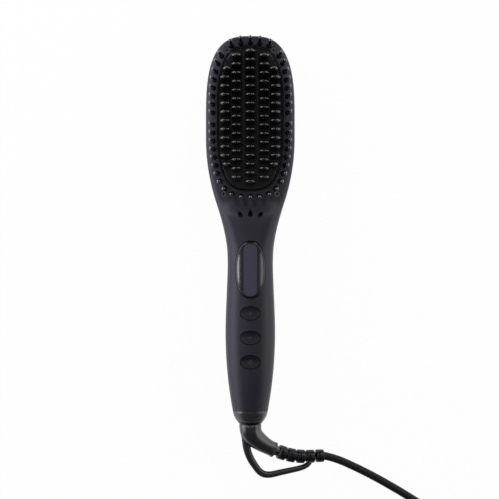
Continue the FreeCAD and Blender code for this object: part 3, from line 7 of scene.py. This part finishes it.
import bpy
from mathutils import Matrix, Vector


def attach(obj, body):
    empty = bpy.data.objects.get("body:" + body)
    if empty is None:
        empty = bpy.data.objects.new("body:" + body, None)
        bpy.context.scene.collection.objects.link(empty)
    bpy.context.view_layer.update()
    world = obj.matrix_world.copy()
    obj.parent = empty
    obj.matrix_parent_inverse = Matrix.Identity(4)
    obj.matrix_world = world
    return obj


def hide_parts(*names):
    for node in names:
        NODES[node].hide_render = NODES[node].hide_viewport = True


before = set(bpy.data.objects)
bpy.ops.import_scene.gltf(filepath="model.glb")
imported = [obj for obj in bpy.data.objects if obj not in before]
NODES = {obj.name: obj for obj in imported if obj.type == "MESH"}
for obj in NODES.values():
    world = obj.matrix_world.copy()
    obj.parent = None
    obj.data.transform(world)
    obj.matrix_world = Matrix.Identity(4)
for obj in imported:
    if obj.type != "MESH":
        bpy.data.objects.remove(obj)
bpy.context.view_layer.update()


# ---------------------------------------------------------------- camera
# A camera on a copy stand, looking straight down. The brush lies on its back below it, bristles up, with
# its long axis up the picture.
CAMERA_PLACE = (-0.00058, -0.0142, 0.6285)
LENS_MM, SENSOR_MM = 60.5, 36.0
NEAREST_SEEN = 0.01


def linked_object(name, data):
    thing = bpy.data.objects.new(name, data)
    bpy.context.scene.collection.objects.link(thing)
    return thing


camera_data = bpy.data.cameras.new("camera")
camera_data.lens = LENS_MM
camera_data.sensor_width = SENSOR_MM
camera_data.clip_start = NEAREST_SEEN
camera = linked_object("camera", camera_data)
camera.location = CAMERA_PLACE
camera.rotation_euler = (0, 0, 0)
bpy.context.scene.camera = camera


# ---------------------------------------------------------------- power cord
# Mains lead with a round elastomer sheath, 5.8 mm thick. It leaves the guard's ribs, comes down to the
# table and runs off; the rest lies wound in two layers in a tied coil, with the plug beside it.
CORD_RADIUS = 0.0029
LEAD = [(54.1, -167.1, 6.5), (62.0, -168.8, 4.95), (78.5, -176.4, 3.15), (97.0, -185.9, 2.95),
        (121.5, -200.3, 2.95)]
COIL_MIDDLE = (120.14, -252.24)
TURN_RADII = (43.0, 37.05, 31.1, 25.15)
LOW_LAYER, HIGH_LAYER = 3.5, 9.35
FIRST_ANGLE = 54.35
COIL_SWEEP = 174.35 + 7 * 360
COIL_POINTS = 135
CLIMB_START = 5 / 6
CLIMB_BULGE = 3.0
TAIL = [(84.5, -280.6, 9.0), (70.5, -273.3, 8.0), (59.5, -266.8, 8.0)]
SHEATH_COLOR = (0.0045, 0.0045, 0.005)


def mm(*values):
    """A point given in millimetres."""
    return Vector(value / 1000 for value in values)


def smooth(share):
    share = min(max(share, 0.0), 1.0)
    return share * share * (3 - 2 * share)


def coil_place(turned):
    """Radius and height of the coil after so many degrees: four turns in, a climb, and out again."""
    turn, share = int(turned // 360), (turned % 360) / 360
    climb = (share - CLIMB_START) / (1 - CLIMB_START)
    move = smooth(climb)
    innermost = len(TURN_RADII) - 1
    if turn < innermost:
        return TURN_RADII[turn] + (TURN_RADII[turn + 1] - TURN_RADII[turn]) * move, LOW_LAYER
    if turn == innermost:
        bulge = CLIMB_BULGE * math.sin(math.pi * min(max(climb, 0.0), 1.0))
        return TURN_RADII[innermost] - bulge, LOW_LAYER + (HIGH_LAYER - LOW_LAYER) * move
    ring = 2 * innermost + 1 - turn
    if ring == 0:
        return TURN_RADII[0], HIGH_LAYER
    return TURN_RADII[ring] + (TURN_RADII[ring - 1] - TURN_RADII[ring]) * move, HIGH_LAYER


def cord_points():
    step = COIL_SWEEP / COIL_POINTS
    widen = 1 / math.cos(math.radians(step / 2))
    points = [mm(*point) for point in LEAD]
    for index in range(COIL_POINTS + 1):
        radius, height = coil_place(step * index)
        angle = math.radians(FIRST_ANGLE - step * index)
        points.append(mm(COIL_MIDDLE[0] + radius * widen * math.cos(angle),
                         COIL_MIDDLE[1] + radius * widen * math.sin(angle), height))
    return points + [mm(*point) for point in TAIL]


def add(tree, kind, x=0, y=0, **settings):
    """A shader node; keyword settings go on the node itself."""
    node = tree.nodes.new(kind)
    node.location = (x, y)
    for name, value in settings.items():
        setattr(node, name, value)
    return node


def feed(tree, source, target):
    tree.links.new(source, target)


def new_group(name, inputs, outputs):
    """A node group with named sockets given as (name, kind, default)."""
    tree = bpy.data.node_groups.new(name, "ShaderNodeTree")
    for label, kind, value in inputs:
        socket = tree.interface.new_socket(label, in_out="INPUT", socket_type="NodeSocket" + kind)
        if value is not None:
            socket.default_value = value
    for label, kind in outputs:
        tree.interface.new_socket(label, in_out="OUTPUT", socket_type="NodeSocket" + kind)
    return tree, add(tree, "NodeGroupInput", -900), add(tree, "NodeGroupOutput", 600)


def grain_group():
    """Fine relief of a surface, in metres of height and features to the metre."""
    tree, entry, leave = new_group(
        "Fine grain",
        [("Scale", "Float", 2500.0), ("Height", "Float", 0.00001), ("Roundness", "Float", 0.5)],
        [("Normal", "Vector"), ("Speck", "Float")])
    place = add(tree, "ShaderNodeTexCoord", -900, -200)
    noise = add(tree, "ShaderNodeTexNoise", -600)
    noise.inputs["Detail"].default_value = 3.0
    bump = add(tree, "ShaderNodeBump", -300)
    bump.inputs["Strength"].default_value = 1.0
    feed(tree, place.outputs["Object"], noise.inputs["Vector"])
    feed(tree, entry.outputs["Scale"], noise.inputs["Scale"])
    feed(tree, entry.outputs["Roundness"], noise.inputs["Roughness"])
    feed(tree, entry.outputs["Height"], bump.inputs["Distance"])
    feed(tree, noise.outputs["Fac"], bump.inputs["Height"])
    feed(tree, bump.outputs["Normal"], leave.inputs["Normal"])
    feed(tree, noise.outputs["Fac"], leave.inputs["Speck"])
    return tree


def drift_group():
    """Slow change of tone over a surface: handling marks and uneven coating."""
    tree, entry, leave = new_group(
        "Tone drift",
        [("Color", "Color", (0.1, 0.1, 0.1, 1)), ("Amount", "Float", 0.1), ("Scale", "Float", 30.0)],
        [("Color", "Color")])
    place = add(tree, "ShaderNodeTexCoord", -900, -200)
    noise = add(tree, "ShaderNodeTexNoise", -600)
    noise.inputs["Detail"].default_value = 4.0
    centred = add(tree, "ShaderNodeMath", -400, operation="SUBTRACT")
    centred.inputs[1].default_value = 0.5
    scaled = add(tree, "ShaderNodeMath", -200, operation="MULTIPLY_ADD")
    scaled.inputs[2].default_value = 1.0
    tone = add(tree, "ShaderNodeVectorMath", 100, operation="SCALE")
    feed(tree, place.outputs["Object"], noise.inputs["Vector"])
    feed(tree, entry.outputs["Scale"], noise.inputs["Scale"])
    feed(tree, noise.outputs["Fac"], centred.inputs[0])
    feed(tree, centred.outputs[0], scaled.inputs[0])
    feed(tree, entry.outputs["Amount"], scaled.inputs[1])
    feed(tree, entry.outputs["Color"], tone.inputs[0])
    feed(tree, scaled.outputs[0], tone.inputs["Scale"])
    feed(tree, tone.outputs[0], leave.inputs["Color"])
    return tree


def sheen_drift_group():
    """Roughness that changes a little, as a touched or moulded surface does."""
    tree, entry, leave = new_group(
        "Rub drift", [("Roughness", "Float", 0.5), ("Amount", "Float", 0.1), ("Scale", "Float", 60.0)],
        [("Roughness", "Float")])
    place = add(tree, "ShaderNodeTexCoord", -900, -200)
    noise = add(tree, "ShaderNodeTexNoise", -600)
    noise.inputs["Detail"].default_value = 5.0
    spread = add(tree, "ShaderNodeMath", -400, operation="SUBTRACT")
    spread.inputs[1].default_value = 0.5
    total = add(tree, "ShaderNodeMath", -200, operation="MULTIPLY_ADD", use_clamp=True)
    feed(tree, place.outputs["Object"], noise.inputs["Vector"])
    feed(tree, entry.outputs["Scale"], noise.inputs["Scale"])
    feed(tree, noise.outputs["Fac"], spread.inputs[0])
    feed(tree, spread.outputs[0], total.inputs[0])
    feed(tree, entry.outputs["Amount"], total.inputs[1])
    feed(tree, entry.outputs["Roughness"], total.inputs[2])
    feed(tree, total.outputs[0], leave.inputs["Roughness"])
    return tree


GRAIN = grain_group()
DRIFT = drift_group()
RUB = sheen_drift_group()


def use_group(tree, group, x, y, **values):
    node = add(tree, "ShaderNodeGroup", x, y, node_tree=group)
    for name, value in values.items():
        node.inputs[name].default_value = value
    return node


def surface(name, color, roughness, metallic=0.0, specular=0.5, drift=0.1, drift_scale=30.0,
            rub=0.08, rub_scale=60.0, grain_scale=2500.0, grain_height=0.00001, coat=0.0,
            coat_roughness=0.05, specular_tint=(1, 1, 1)):
    """A moulded, coated or metal surface built on the shared effects, with scales to the metre."""
    made = bpy.data.materials.new(name)
    made.use_nodes = True
    tree = made.node_tree
    shader = tree.nodes["Principled BSDF"]
    tone = use_group(tree, DRIFT, -400, 300, Color=(*color, 1), Amount=drift, Scale=drift_scale)
    rubbed = use_group(tree, RUB, -400, 50, Roughness=roughness, Amount=rub, Scale=rub_scale)
    grain = use_group(tree, GRAIN, -400, -200, Scale=grain_scale, Height=grain_height)
    shader.inputs["Metallic"].default_value = metallic
    shader.inputs["Specular IOR Level"].default_value = specular
    shader.inputs["Coat Weight"].default_value = coat
    shader.inputs["Coat Roughness"].default_value = coat_roughness
    shader.inputs["Specular Tint"].default_value = (*specular_tint, 1)
    feed(tree, tone.outputs["Color"], shader.inputs["Base Color"])
    feed(tree, rubbed.outputs["Roughness"], shader.inputs["Roughness"])
    feed(tree, grain.outputs["Normal"], shader.inputs["Normal"])
    return made


cord_curve = bpy.data.curves.new("cord", "CURVE")
cord_curve.dimensions = "3D"
cord_curve.bevel_depth = CORD_RADIUS
cord_curve.bevel_resolution = 6
cord_curve.resolution_u = 6
cord_curve.use_fill_caps = True
spline = cord_curve.splines.new("NURBS")
route = cord_points()
spline.points.add(len(route) - 1)
for control, point in zip(spline.points, route):
    control.co = (*point, 1.0)
spline.order_u = 3
spline.use_endpoint_u = True
cord = linked_object("cord", cord_curve)
cord_curve.materials.append(surface(
    "cord_sheath", SHEATH_COLOR, 0.52, specular=0.25, drift=0.15, drift_scale=90.0, rub=0.12,
    grain_scale=1800.0, grain_height=0.00002))
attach(cord, "swivel")
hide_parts("power_cord", "cord_coil")


# ---------------------------------------------------------------- tie and plug
# A rubber strap holds the coil's turns together. The plug is moulded on the cord's end in the same black
# elastomer, with a tapered relief and two folded brass blades.
def dress(material, *names):
    """Give CAD nodes their material."""
    for name in names:
        mesh = NODES[name].data
        mesh.materials.clear()
        mesh.materials.append(material)


BRASS = (0.72, 0.56, 0.28)
dress(surface("tie_strap", (0.03, 0.03, 0.032), 0.6, grain_scale=1500.0, grain_height=0.00003),
      "cord_tie")
dress(surface("plug_rubber", (0.008, 0.008, 0.009), 0.44, drift=0.15, drift_scale=90.0, grain_scale=1800.0,
              grain_height=0.00002), "plug_body")
dress(surface("blade_brass", BRASS, 0.28, metallic=1.0, rub=0.15, rub_scale=300.0),
      "plug_blades")


# ---------------------------------------------------------------- table and studio light
# A white table that keeps a faint shadow and isn't seen from below. A long low soft box stands each side and
# a small one beyond each side of the head, with a narrow strip above each side for the window's flanks and a
# weak box overhead.
def soft_light(name, place, aim, width, height, radiance, colour=(1, 1, 1)):
    """A rectangular soft box that gives this radiance."""
    data = bpy.data.lights.new(name, "AREA")
    data.shape = "RECTANGLE"
    data.size, data.size_y = width, height
    data.energy = radiance * math.pi * width * height
    data.color = colour
    thing = linked_object(name, data)
    thing.location = place
    thing.rotation_euler = (Vector(aim) - Vector(place)).to_track_quat("-Z", "X").to_euler()
    return thing


overhead = soft_light("overhead_box", (0, 0.05, 1.25), (0, 0, 0), 1.35, 1.0, 0.25)
overhead.rotation_euler = (0, 0, 0)
BRUSH_HEAD = (0, 0.05, 0.03)
WINDOW = (0, -0.03, 0.03)
for name, place, aim, width, height, radiance, colour in (
        ("left_box", (-0.75, 0.22, 0.27), (0, 0.22, 0.27), 0.52, 1.36, 3.2, (0.94, 0.92, 1.02)),
        ("right_box", (0.75, 0.27, 0.28), (0, 0.27, 0.28), 0.52, 1.30, 1.65, (1.0, 0.99, 0.96)),
        ("head_box_left", (-0.50, 0.66, 0.72), BRUSH_HEAD, 0.34, 0.34, 6.4, (1, 1, 1)),
        ("head_box_right", (0.50, 0.66, 0.72), BRUSH_HEAD, 0.34, 0.34, 5.0, (1, 1, 1)),
        ("left_strip", (-0.495, -0.05, 1.2), WINDOW, 0.075, 0.30, 11.0, (0.95, 0.93, 1.05)),
        ("right_strip", (0.485, -0.05, 1.2), WINDOW, 0.13, 0.30, 3.0, (0.97, 0.95, 1.05))):
    soft_light(name, place, aim, width, height, radiance, colour)

world = bpy.data.worlds.new("studio")
world.use_nodes = True
room = world.node_tree.nodes["Background"]
room.inputs["Color"].default_value = (0.9, 0.92, 1.0, 1)
room.inputs["Strength"].default_value = 0.12
bpy.context.scene.world = world

TABLE_HALF = 20.0
TABLE_LEVEL = -0.0001
MATTE_TONE = (0.9, 0.9, 0.9, 1)
PLAIN_SHARE = 0.97
table_mesh = bpy.data.meshes.new("table")
table_mesh.from_pydata([(-TABLE_HALF, -TABLE_HALF, 0), (TABLE_HALF, -TABLE_HALF, 0),
                        (TABLE_HALF, TABLE_HALF, 0), (-TABLE_HALF, TABLE_HALF, 0)], [], [(0, 1, 2, 3)])
table = linked_object("table", table_mesh)
table.location = (0, 0, TABLE_LEVEL)
table_top = bpy.data.materials.new("table_board")
table_top.use_nodes = True
tree = table_top.node_tree
tree.nodes.clear()
matte = add(tree, "ShaderNodeBsdfDiffuse", -300, -100)
matte.inputs["Color"].default_value = MATTE_TONE
glow = add(tree, "ShaderNodeEmission", -300, -300)
glow.inputs["Strength"].default_value = 1.0
ray = add(tree, "ShaderNodeLightPath", -900, 200)
looked = add(tree, "ShaderNodeMath", -700, 250, operation="MAXIMUM")
seen = add(tree, "ShaderNodeMath", -500, 200, operation="MAXIMUM")
share = add(tree, "ShaderNodeMath", -300, 200, operation="MULTIPLY")
share.inputs[1].default_value = PLAIN_SHARE
mix = add(tree, "ShaderNodeMixShader", 0, 0)
out = add(tree, "ShaderNodeOutputMaterial", 300, 0)
feed(tree, ray.outputs["Is Camera Ray"], looked.inputs[0])
feed(tree, ray.outputs["Is Glossy Ray"], looked.inputs[1])
feed(tree, looked.outputs[0], seen.inputs[0])
feed(tree, ray.outputs["Is Transmission Ray"], seen.inputs[1])
feed(tree, seen.outputs[0], share.inputs[0])
feed(tree, share.outputs[0], mix.inputs["Fac"])
feed(tree, matte.outputs["BSDF"], mix.inputs[1])
feed(tree, glow.outputs["Emission"], mix.inputs[2])
clear = add(tree, "ShaderNodeBsdfTransparent", 0, -200)
under = add(tree, "ShaderNodeNewGeometry", 0, 300)
one_sided = add(tree, "ShaderNodeMixShader", 150, 0)
feed(tree, under.outputs["Backfacing"], one_sided.inputs["Fac"])
feed(tree, mix.outputs["Shader"], one_sided.inputs[1])
feed(tree, clear.outputs["BSDF"], one_sided.inputs[2])
feed(tree, one_sided.outputs["Shader"], out.inputs["Surface"])
table_mesh.materials.append(table_top)


# ---------------------------------------------------------------- front and rear cover
# Two ABS mouldings with a charcoal soft-touch lacquer, screwed together through the head.
# The lacquer is a fine matte with a faint violet cast, and its smoothness changes a little over the surface.
LACQUER_COLOR = (0.0125, 0.0115, 0.0165)
LACQUER_SHEEN = (0.88, 0.85, 1.0)
LACQUER_GRAIN = 5200.0
dress(surface("soft_touch", LACQUER_COLOR, 0.46, specular=0.45, drift=0.10, drift_scale=18.0, rub=0.08,
              rub_scale=35.0, grain_scale=LACQUER_GRAIN, grain_height=0.000008,
              specular_tint=LACQUER_SHEEN),
      "front_shell", "rear_shell")


# ---------------------------------------------------------------- tail cap
# A black ring with a low polish, moulded and plugged into both covers. It closes the tail and traps the
# swivel's bush; the bevel at its end is left dull.
def beyond_group():
    """Which side of a level a place is on, along one axis of the body: a mask of 0 to 1."""
    tree, entry, leave = new_group("Beyond level", [("Axis", "Vector", (0, 0, 1)), ("Level", "Float", 0.0),
                                                    ("Edge", "Float", 0.0001)], [("Mask", "Float")])
    place = add(tree, "ShaderNodeTexCoord", -900, -200)
    along = add(tree, "ShaderNodeVectorMath", -600, operation="DOT_PRODUCT")
    past = add(tree, "ShaderNodeMath", -400, operation="SUBTRACT")
    steep = add(tree, "ShaderNodeMath", -200, operation="DIVIDE")
    mask = add(tree, "ShaderNodeMath", 100, operation="MULTIPLY_ADD", use_clamp=True)
    mask.inputs[1].default_value = 0.5
    mask.inputs[2].default_value = 0.5
    feed(tree, place.outputs["Object"], along.inputs[0])
    feed(tree, entry.outputs["Axis"], along.inputs[1])
    feed(tree, along.outputs["Value"], past.inputs[0])
    feed(tree, entry.outputs["Level"], past.inputs[1])
    feed(tree, past.outputs[0], steep.inputs[0])
    feed(tree, entry.outputs["Edge"], steep.inputs[1])
    feed(tree, steep.outputs[0], mask.inputs[0])
    feed(tree, mask.outputs[0], leave.inputs["Mask"])
    return tree


BEYOND = beyond_group()


def beyond(material, axis, level, edge):
    """Mask of the places past a level in millimetres along an axis."""
    node = use_group(material.node_tree, BEYOND, -700, 800, Level=level / 1000, Edge=edge / 1000)
    node.inputs["Axis"].default_value = axis
    return node.outputs["Mask"]


def dull(material, mask, amount):
    """Take the sheen off a plastic where a mask is 1: as a metal, so dark a colour hardly reflects."""
    tree = material.node_tree
    less = add(tree, "ShaderNodeMath", -150, 150, operation="MULTIPLY")
    less.inputs[1].default_value = amount
    feed(tree, mask, less.inputs[0])
    feed(tree, less.outputs[0], tree.nodes["Principled BSDF"].inputs["Metallic"])


BEVEL_START = 138.2
cap = surface("satin_cap", (0.007, 0.0069, 0.009), 0.34, specular=1.0, drift=0.05, rub=0.05,
              grain_height=0.000002)
dull(cap, beyond(cap, (0, -1, 0), BEVEL_START, 0.5), 1.0)
dress(cap, "tail_cap")


# ---------------------------------------------------------------- heating plate
# Die-cast aluminium plate with its bristle blades, under a satin ceramic coating with fine mica flecks.
# It sits in the heat-proof frame, and the heating elements are clamped to its back.
def fleck_group():
    """Sparse fine flecks, as mica in a coating: a mask of 0 to 1."""
    tree, entry, leave = new_group("Flecks", [("Scale", "Float", 3000.0), ("Reach", "Float", 0.25)],
                                   [("Mask", "Float")])
    place = add(tree, "ShaderNodeTexCoord", -900, -200)
    cells = add(tree, "ShaderNodeTexVoronoi", -600)
    near = add(tree, "ShaderNodeMath", -400, operation="LESS_THAN")
    feed(tree, place.outputs["Object"], cells.inputs["Vector"])
    feed(tree, entry.outputs["Scale"], cells.inputs["Scale"])
    feed(tree, cells.outputs["Distance"], near.inputs[0])
    feed(tree, entry.outputs["Reach"], near.inputs[1])
    feed(tree, near.outputs[0], leave.inputs["Mask"])
    return tree


FLECKS = fleck_group()


def tint(material, mask, color):
    """Blend a colour over a material's own where a mask is 1."""
    tree = material.node_tree
    base = tree.nodes["Principled BSDF"].inputs["Base Color"]
    blend = add(tree, "ShaderNodeMix", -150, 450, data_type="RGBA")
    blend.inputs[7].default_value = (*color, 1)
    feed(tree, mask, blend.inputs[0])
    feed(tree, base.links[0].from_socket, blend.inputs[6])
    feed(tree, blend.outputs[2], base)


COATING_COLOR = (0.0030, 0.0028, 0.0040)
FLECK_COLOR = (0.012, 0.012, 0.014)
plate = surface("coated_plate", COATING_COLOR, 0.24, specular=0.3, drift=0.15, rub=0.10,
                grain_scale=3500.0, grain_height=0.000006)
tint(plate, use_group(plate.node_tree, FLECKS, -700, 500, Scale=2600.0, Reach=0.16).outputs["Mask"],
     FLECK_COLOR)
dress(plate, "heating_plate")


# ---------------------------------------------------------------- bristle caps and comb pegs
# Polished heat-proof nylon: a domed cap pressed on each blade, and the ring of splayed comb pegs, moulded
# in one, that stands through the front cover.
NYLON_BLACK = (0.003, 0.003, 0.004)
dress(surface("bristle_caps", NYLON_BLACK, 0.07, specular=1.0, drift=0.10, rub=0.04,
              grain_height=0.000002),
      "bristle_caps")
dress(surface("comb_pegs", NYLON_BLACK, 0.07, specular=1.0, drift=0.10, rub=0.04,
              grain_height=0.000002, coat=0.8, coat_roughness=0.05),
      "peg_ring")


# ---------------------------------------------------------------- plate frame
# Glass-filled moulding that keeps the hot plate off the covers. It is trapped under the front cover's edge
# and shows as the dark groove round the plate.
dress(surface("heat_frame", NYLON_BLACK, 0.5, drift=0.12, grain_scale=3000.0,
              grain_height=0.000008),
      "plate_frame")


# ---------------------------------------------------------------- screws
# Blackened cross-head steel screws: four in recesses of the head, the others at the heater's clamp and the
# board. Painted shade darkens the crosses of the four that show.
def black_steel(name):
    return surface(name, (0.12, 0.117, 0.13), 0.36, metallic=1.0, drift=0.2, drift_scale=400.0,
                   rub=0.15, rub_scale=500.0, grain_height=0.000003)


RECESS_LEVEL = 23.1
RECESS_SHADE_COLOR = (0.004, 0.004, 0.004)
outer_screw = black_steel("black_steel_head")
# Painted shade: the screws' crosses, below the recess level, are darkened as if shadowed.
tint(outer_screw, beyond(outer_screw, (0, 0, -1), -RECESS_LEVEL, 0.05), RECESS_SHADE_COLOR)
dress(outer_screw, "head_screws")
dress(black_steel("black_steel"), "clamp_screws", "board_screws")


# ---------------------------------------------------------------- ion outlets
# Three spouts on one glossy black moulding, pushed up behind the neck. A steel needle stands deep in each,
# and the ions leave past it.
dress(surface("outlet_black", (0.004, 0.004, 0.005), 0.22, rub=0.05, grain_height=0.000002),
      "outlet_insert")
dress(surface("needle_steel", (0.10, 0.10, 0.10), 0.45, metallic=1.0), "ion_needles")


# ---------------------------------------------------------------- display window
# Dark tinted acrylic, polished, snapped into the front cover over the display. A long rounded panel behind
# it shows a little lighter while the brush is off; that lighter tint is also a painted reflection on the
# window's flat top.
def bar_group():
    """A bar with rounded ends in the plane of the body: a mask of 0 to 1, in metres."""
    tree, entry, leave = new_group(
        "Rounded bar", [("Centre", "Vector", (0, 0, 0)), ("Half", "Vector", (0.001, 0.001, 1.0)),
                        ("Radius", "Float", 0.001), ("Edge", "Float", 0.0001)],
        [("Mask", "Float")])
    place = add(tree, "ShaderNodeTexCoord", -900, -200)
    offset = add(tree, "ShaderNodeVectorMath", -700, operation="SUBTRACT")
    mirrored = add(tree, "ShaderNodeVectorMath", -550, operation="ABSOLUTE")
    spare = add(tree, "ShaderNodeVectorMath", -400, operation="SUBTRACT")
    outside = add(tree, "ShaderNodeVectorMath", -250, operation="MAXIMUM")
    flat = add(tree, "ShaderNodeVectorMath", -100, operation="MULTIPLY")
    flat.inputs[1].default_value = (1, 1, 0)
    reach = add(tree, "ShaderNodeVectorMath", 50, operation="LENGTH")
    past = add(tree, "ShaderNodeMath", 200, operation="SUBTRACT")
    steep = add(tree, "ShaderNodeMath", 350, operation="DIVIDE")
    mask = add(tree, "ShaderNodeMath", 480, operation="MULTIPLY_ADD", use_clamp=True)
    mask.inputs[1].default_value = -0.5
    mask.inputs[2].default_value = 0.5
    feed(tree, place.outputs["Object"], offset.inputs[0])
    feed(tree, entry.outputs["Centre"], offset.inputs[1])
    feed(tree, offset.outputs[0], mirrored.inputs[0])
    feed(tree, mirrored.outputs[0], spare.inputs[0])
    feed(tree, entry.outputs["Half"], spare.inputs[1])
    feed(tree, spare.outputs[0], outside.inputs[0])
    feed(tree, outside.outputs[0], flat.inputs[0])
    feed(tree, flat.outputs[0], reach.inputs[0])
    feed(tree, reach.outputs["Value"], past.inputs[0])
    feed(tree, entry.outputs["Radius"], past.inputs[1])
    feed(tree, past.outputs[0], steep.inputs[0])
    feed(tree, entry.outputs["Edge"], steep.inputs[1])
    feed(tree, steep.outputs[0], mask.inputs[0])
    feed(tree, mask.outputs[0], leave.inputs["Mask"])
    return tree


BAR = bar_group()


def bar_mask(material, centre, half_x, half_y, radius, edge):
    """Mask of one rounded bar, its centre and half sizes in millimetres."""
    node = use_group(material.node_tree, BAR, -700, 600, Radius=radius / 1000, Edge=edge / 1000)
    node.inputs["Centre"].default_value = (centre[0] / 1000, centre[1] / 1000, 0)
    node.inputs["Half"].default_value = ((half_x - radius) / 1000, (half_y - radius) / 1000, 1)
    return node.outputs["Mask"]


PANEL_CENTRE, PANEL_HALF_X, PANEL_HALF_Y, PANEL_ROUND = (0, -28.8), 4.8, 18.5, 4.0
PANEL_AND_SHEEN_COLOR = (0.047, 0.042, 0.065)
window = surface("display_window", (0.005, 0.0045, 0.009), 0.12, drift=0.05, rub=0.03,
                 grain_height=0.0000005)
# Painted reflection: the lighter bar tint stands for the panel behind and for light reflected by the flat
# top.
tint(window, bar_mask(window, PANEL_CENTRE, PANEL_HALF_X, PANEL_HALF_Y, PANEL_ROUND, 0.25),
     PANEL_AND_SHEEN_COLOR)
dress(window, "display_lens")


# ---------------------------------------------------------------- buttons
# Three oval keys of the covers' plastic and lacquer, dished along the body, each with a small generic
# sign: more, less, and on/off. They stand on the switches of the board.
BUTTON_Y = {"up": -59.6, "down": -77.0, "power": -94.4}
SIGN_COLOR = (0.045, 0.044, 0.050)
SIGN_LINE = 0.28
SIGN_EDGE = 0.1
ARM_HALF, DASH_HALF = 1.2, 1.5


# The keys' colour is darker than the covers' lacquer: painted shade of their dish.
def shaded_key_coating(name):
    return surface("key_" + name, (0.0042, 0.0039, 0.0058), 0.38, specular=0.5, drift=0.10, rub=0.08,
                   rub_scale=90.0, grain_scale=LACQUER_GRAIN, grain_height=0.000006,
                   specular_tint=LACQUER_SHEEN)


def joined_masks(material, first, second, operation="MAXIMUM"):
    node = add(material.node_tree, "ShaderNodeMath", -450, 700, operation=operation, use_clamp=True)
    feed(material.node_tree, first, node.inputs[0])
    feed(material.node_tree, second, node.inputs[1])
    return node.outputs[0]


more_key = shaded_key_coating("up")
middle = (0, BUTTON_Y["up"])
tint(more_key, joined_masks(more_key,
                            bar_mask(more_key, middle, ARM_HALF, SIGN_LINE, SIGN_LINE, SIGN_EDGE),
                            bar_mask(more_key, middle, SIGN_LINE, ARM_HALF, SIGN_LINE, SIGN_EDGE)),
     SIGN_COLOR)
dress(more_key, "button_up")

less_key = shaded_key_coating("down")
tint(less_key, bar_mask(less_key, (0, BUTTON_Y["down"]), DASH_HALF, SIGN_LINE, SIGN_LINE, SIGN_EDGE),
     SIGN_COLOR)
dress(less_key, "button_down")

power_key = shaded_key_coating("power")
middle = (0, BUTTON_Y["power"] - 0.1)
outer = bar_mask(power_key, middle, 1.5, 1.5, 1.5, SIGN_EDGE)
inner = bar_mask(power_key, middle, 1.0, 1.0, 1.0, SIGN_EDGE)
gap = bar_mask(power_key, (0, middle[1] + 1.3), 0.7, 0.9, 0.3, SIGN_EDGE)
stroke = bar_mask(power_key, (0, middle[1] + 1.1), SIGN_LINE, 0.9, SIGN_LINE, SIGN_EDGE)
ring = joined_masks(power_key, joined_masks(power_key, outer, inner, "SUBTRACT"), gap, "SUBTRACT")
tint(power_key, joined_masks(power_key, ring, stroke), SIGN_COLOR)
dress(power_key, "button_power")


# ---------------------------------------------------------------- cord guard and hanging loop
# One elbow with a ribbed relief, moulded in black elastomer on the swivel's stem, and the strap from its
# neck to the relief that the brush hangs by.
RIBS_START = 22.5
GUARD_COLOR = (0.0040, 0.0037, 0.0054)
STRAP_COLOR = (0.0030, 0.0028, 0.0040)
guard_rubber = surface("guard_rubber", GUARD_COLOR, 0.30, specular=1.0, drift=0.12, rub=0.08,
                       grain_scale=2600.0, grain_height=0.000004)
dull(guard_rubber, beyond(guard_rubber, (1, 0, 0), RIBS_START, 0.6), 0.65)
dress(guard_rubber, "cord_guard")
dress(surface("loop_rubber", STRAP_COLOR, 0.38, specular=0.7, drift=0.12, rub=0.08,
              grain_scale=2600.0, grain_height=0.000004),
      "hanging_loop")


# ---------------------------------------------------------------- swivel
# Acetal bush and stem that turn on each other, a spring-steel clip, brass slip rings and the board's two
# sprung contacts.
dress(surface("acetal", (0.50, 0.50, 0.47), 0.4), "swivel_bush", "swivel_stem")
BRIGHT_STEEL = (0.55, 0.55, 0.56)
dress(surface("spring_steel", BRIGHT_STEEL, 0.35, metallic=1.0, rub=0.2), "swivel_clip")
dress(surface("contact_brass", BRASS, 0.28, metallic=1.0, rub=0.15, rub_scale=300.0),
      "slip_rings", "contact_springs")


# ---------------------------------------------------------------- heater
# Fired ceramic elements under a steel clamp, a cut-out and a sensor in aluminium cases, a mica sheet below
# them and two silicone leads.
dress(surface("fired_ceramic", (0.70, 0.67, 0.60), 0.5, grain_scale=1800.0), "ptc_elements")
dress(surface("sheet_steel", BRIGHT_STEEL, 0.35, metallic=1.0, rub=0.2), "heater_clamp")
dress(surface("drawn_aluminium", (0.7, 0.7, 0.7), 0.4, metallic=1.0, rub=0.15),
      "thermal_fuse", "ntc_sensor")
mica = surface("mica_sheet", (0.55, 0.46, 0.32), 0.55, drift=0.3, drift_scale=120.0)
tint(mica, use_group(mica.node_tree, FLECKS, -700, 500, Scale=900.0, Reach=0.3).outputs["Mask"],
     (0.70, 0.62, 0.48))
dress(mica, "heat_shield")
dress(surface("silicone_lead", (0.40, 0.04, 0.03), 0.45), "heater_leads")


# ---------------------------------------------------------------- ion module, display and board
# A potted module, the display's frame, and an epoxy board with its switches and parts, screwed up into the
# front cover.
dress(surface("potting", (0.03, 0.03, 0.03), 0.55, drift=0.2), "ion_module", "display_module",
      "board_components", "tact_switches")
dress(surface("circuit_board", (0.02, 0.14, 0.06), 0.35, drift=0.2, drift_scale=200.0), "control_board")
dress(surface("switch_plastic", (0.10, 0.10, 0.10), 0.45), "switch_stem_up", "switch_stem_down",
      "switch_stem_power")

bpy.context.scene.view_settings.view_transform = "Standard"
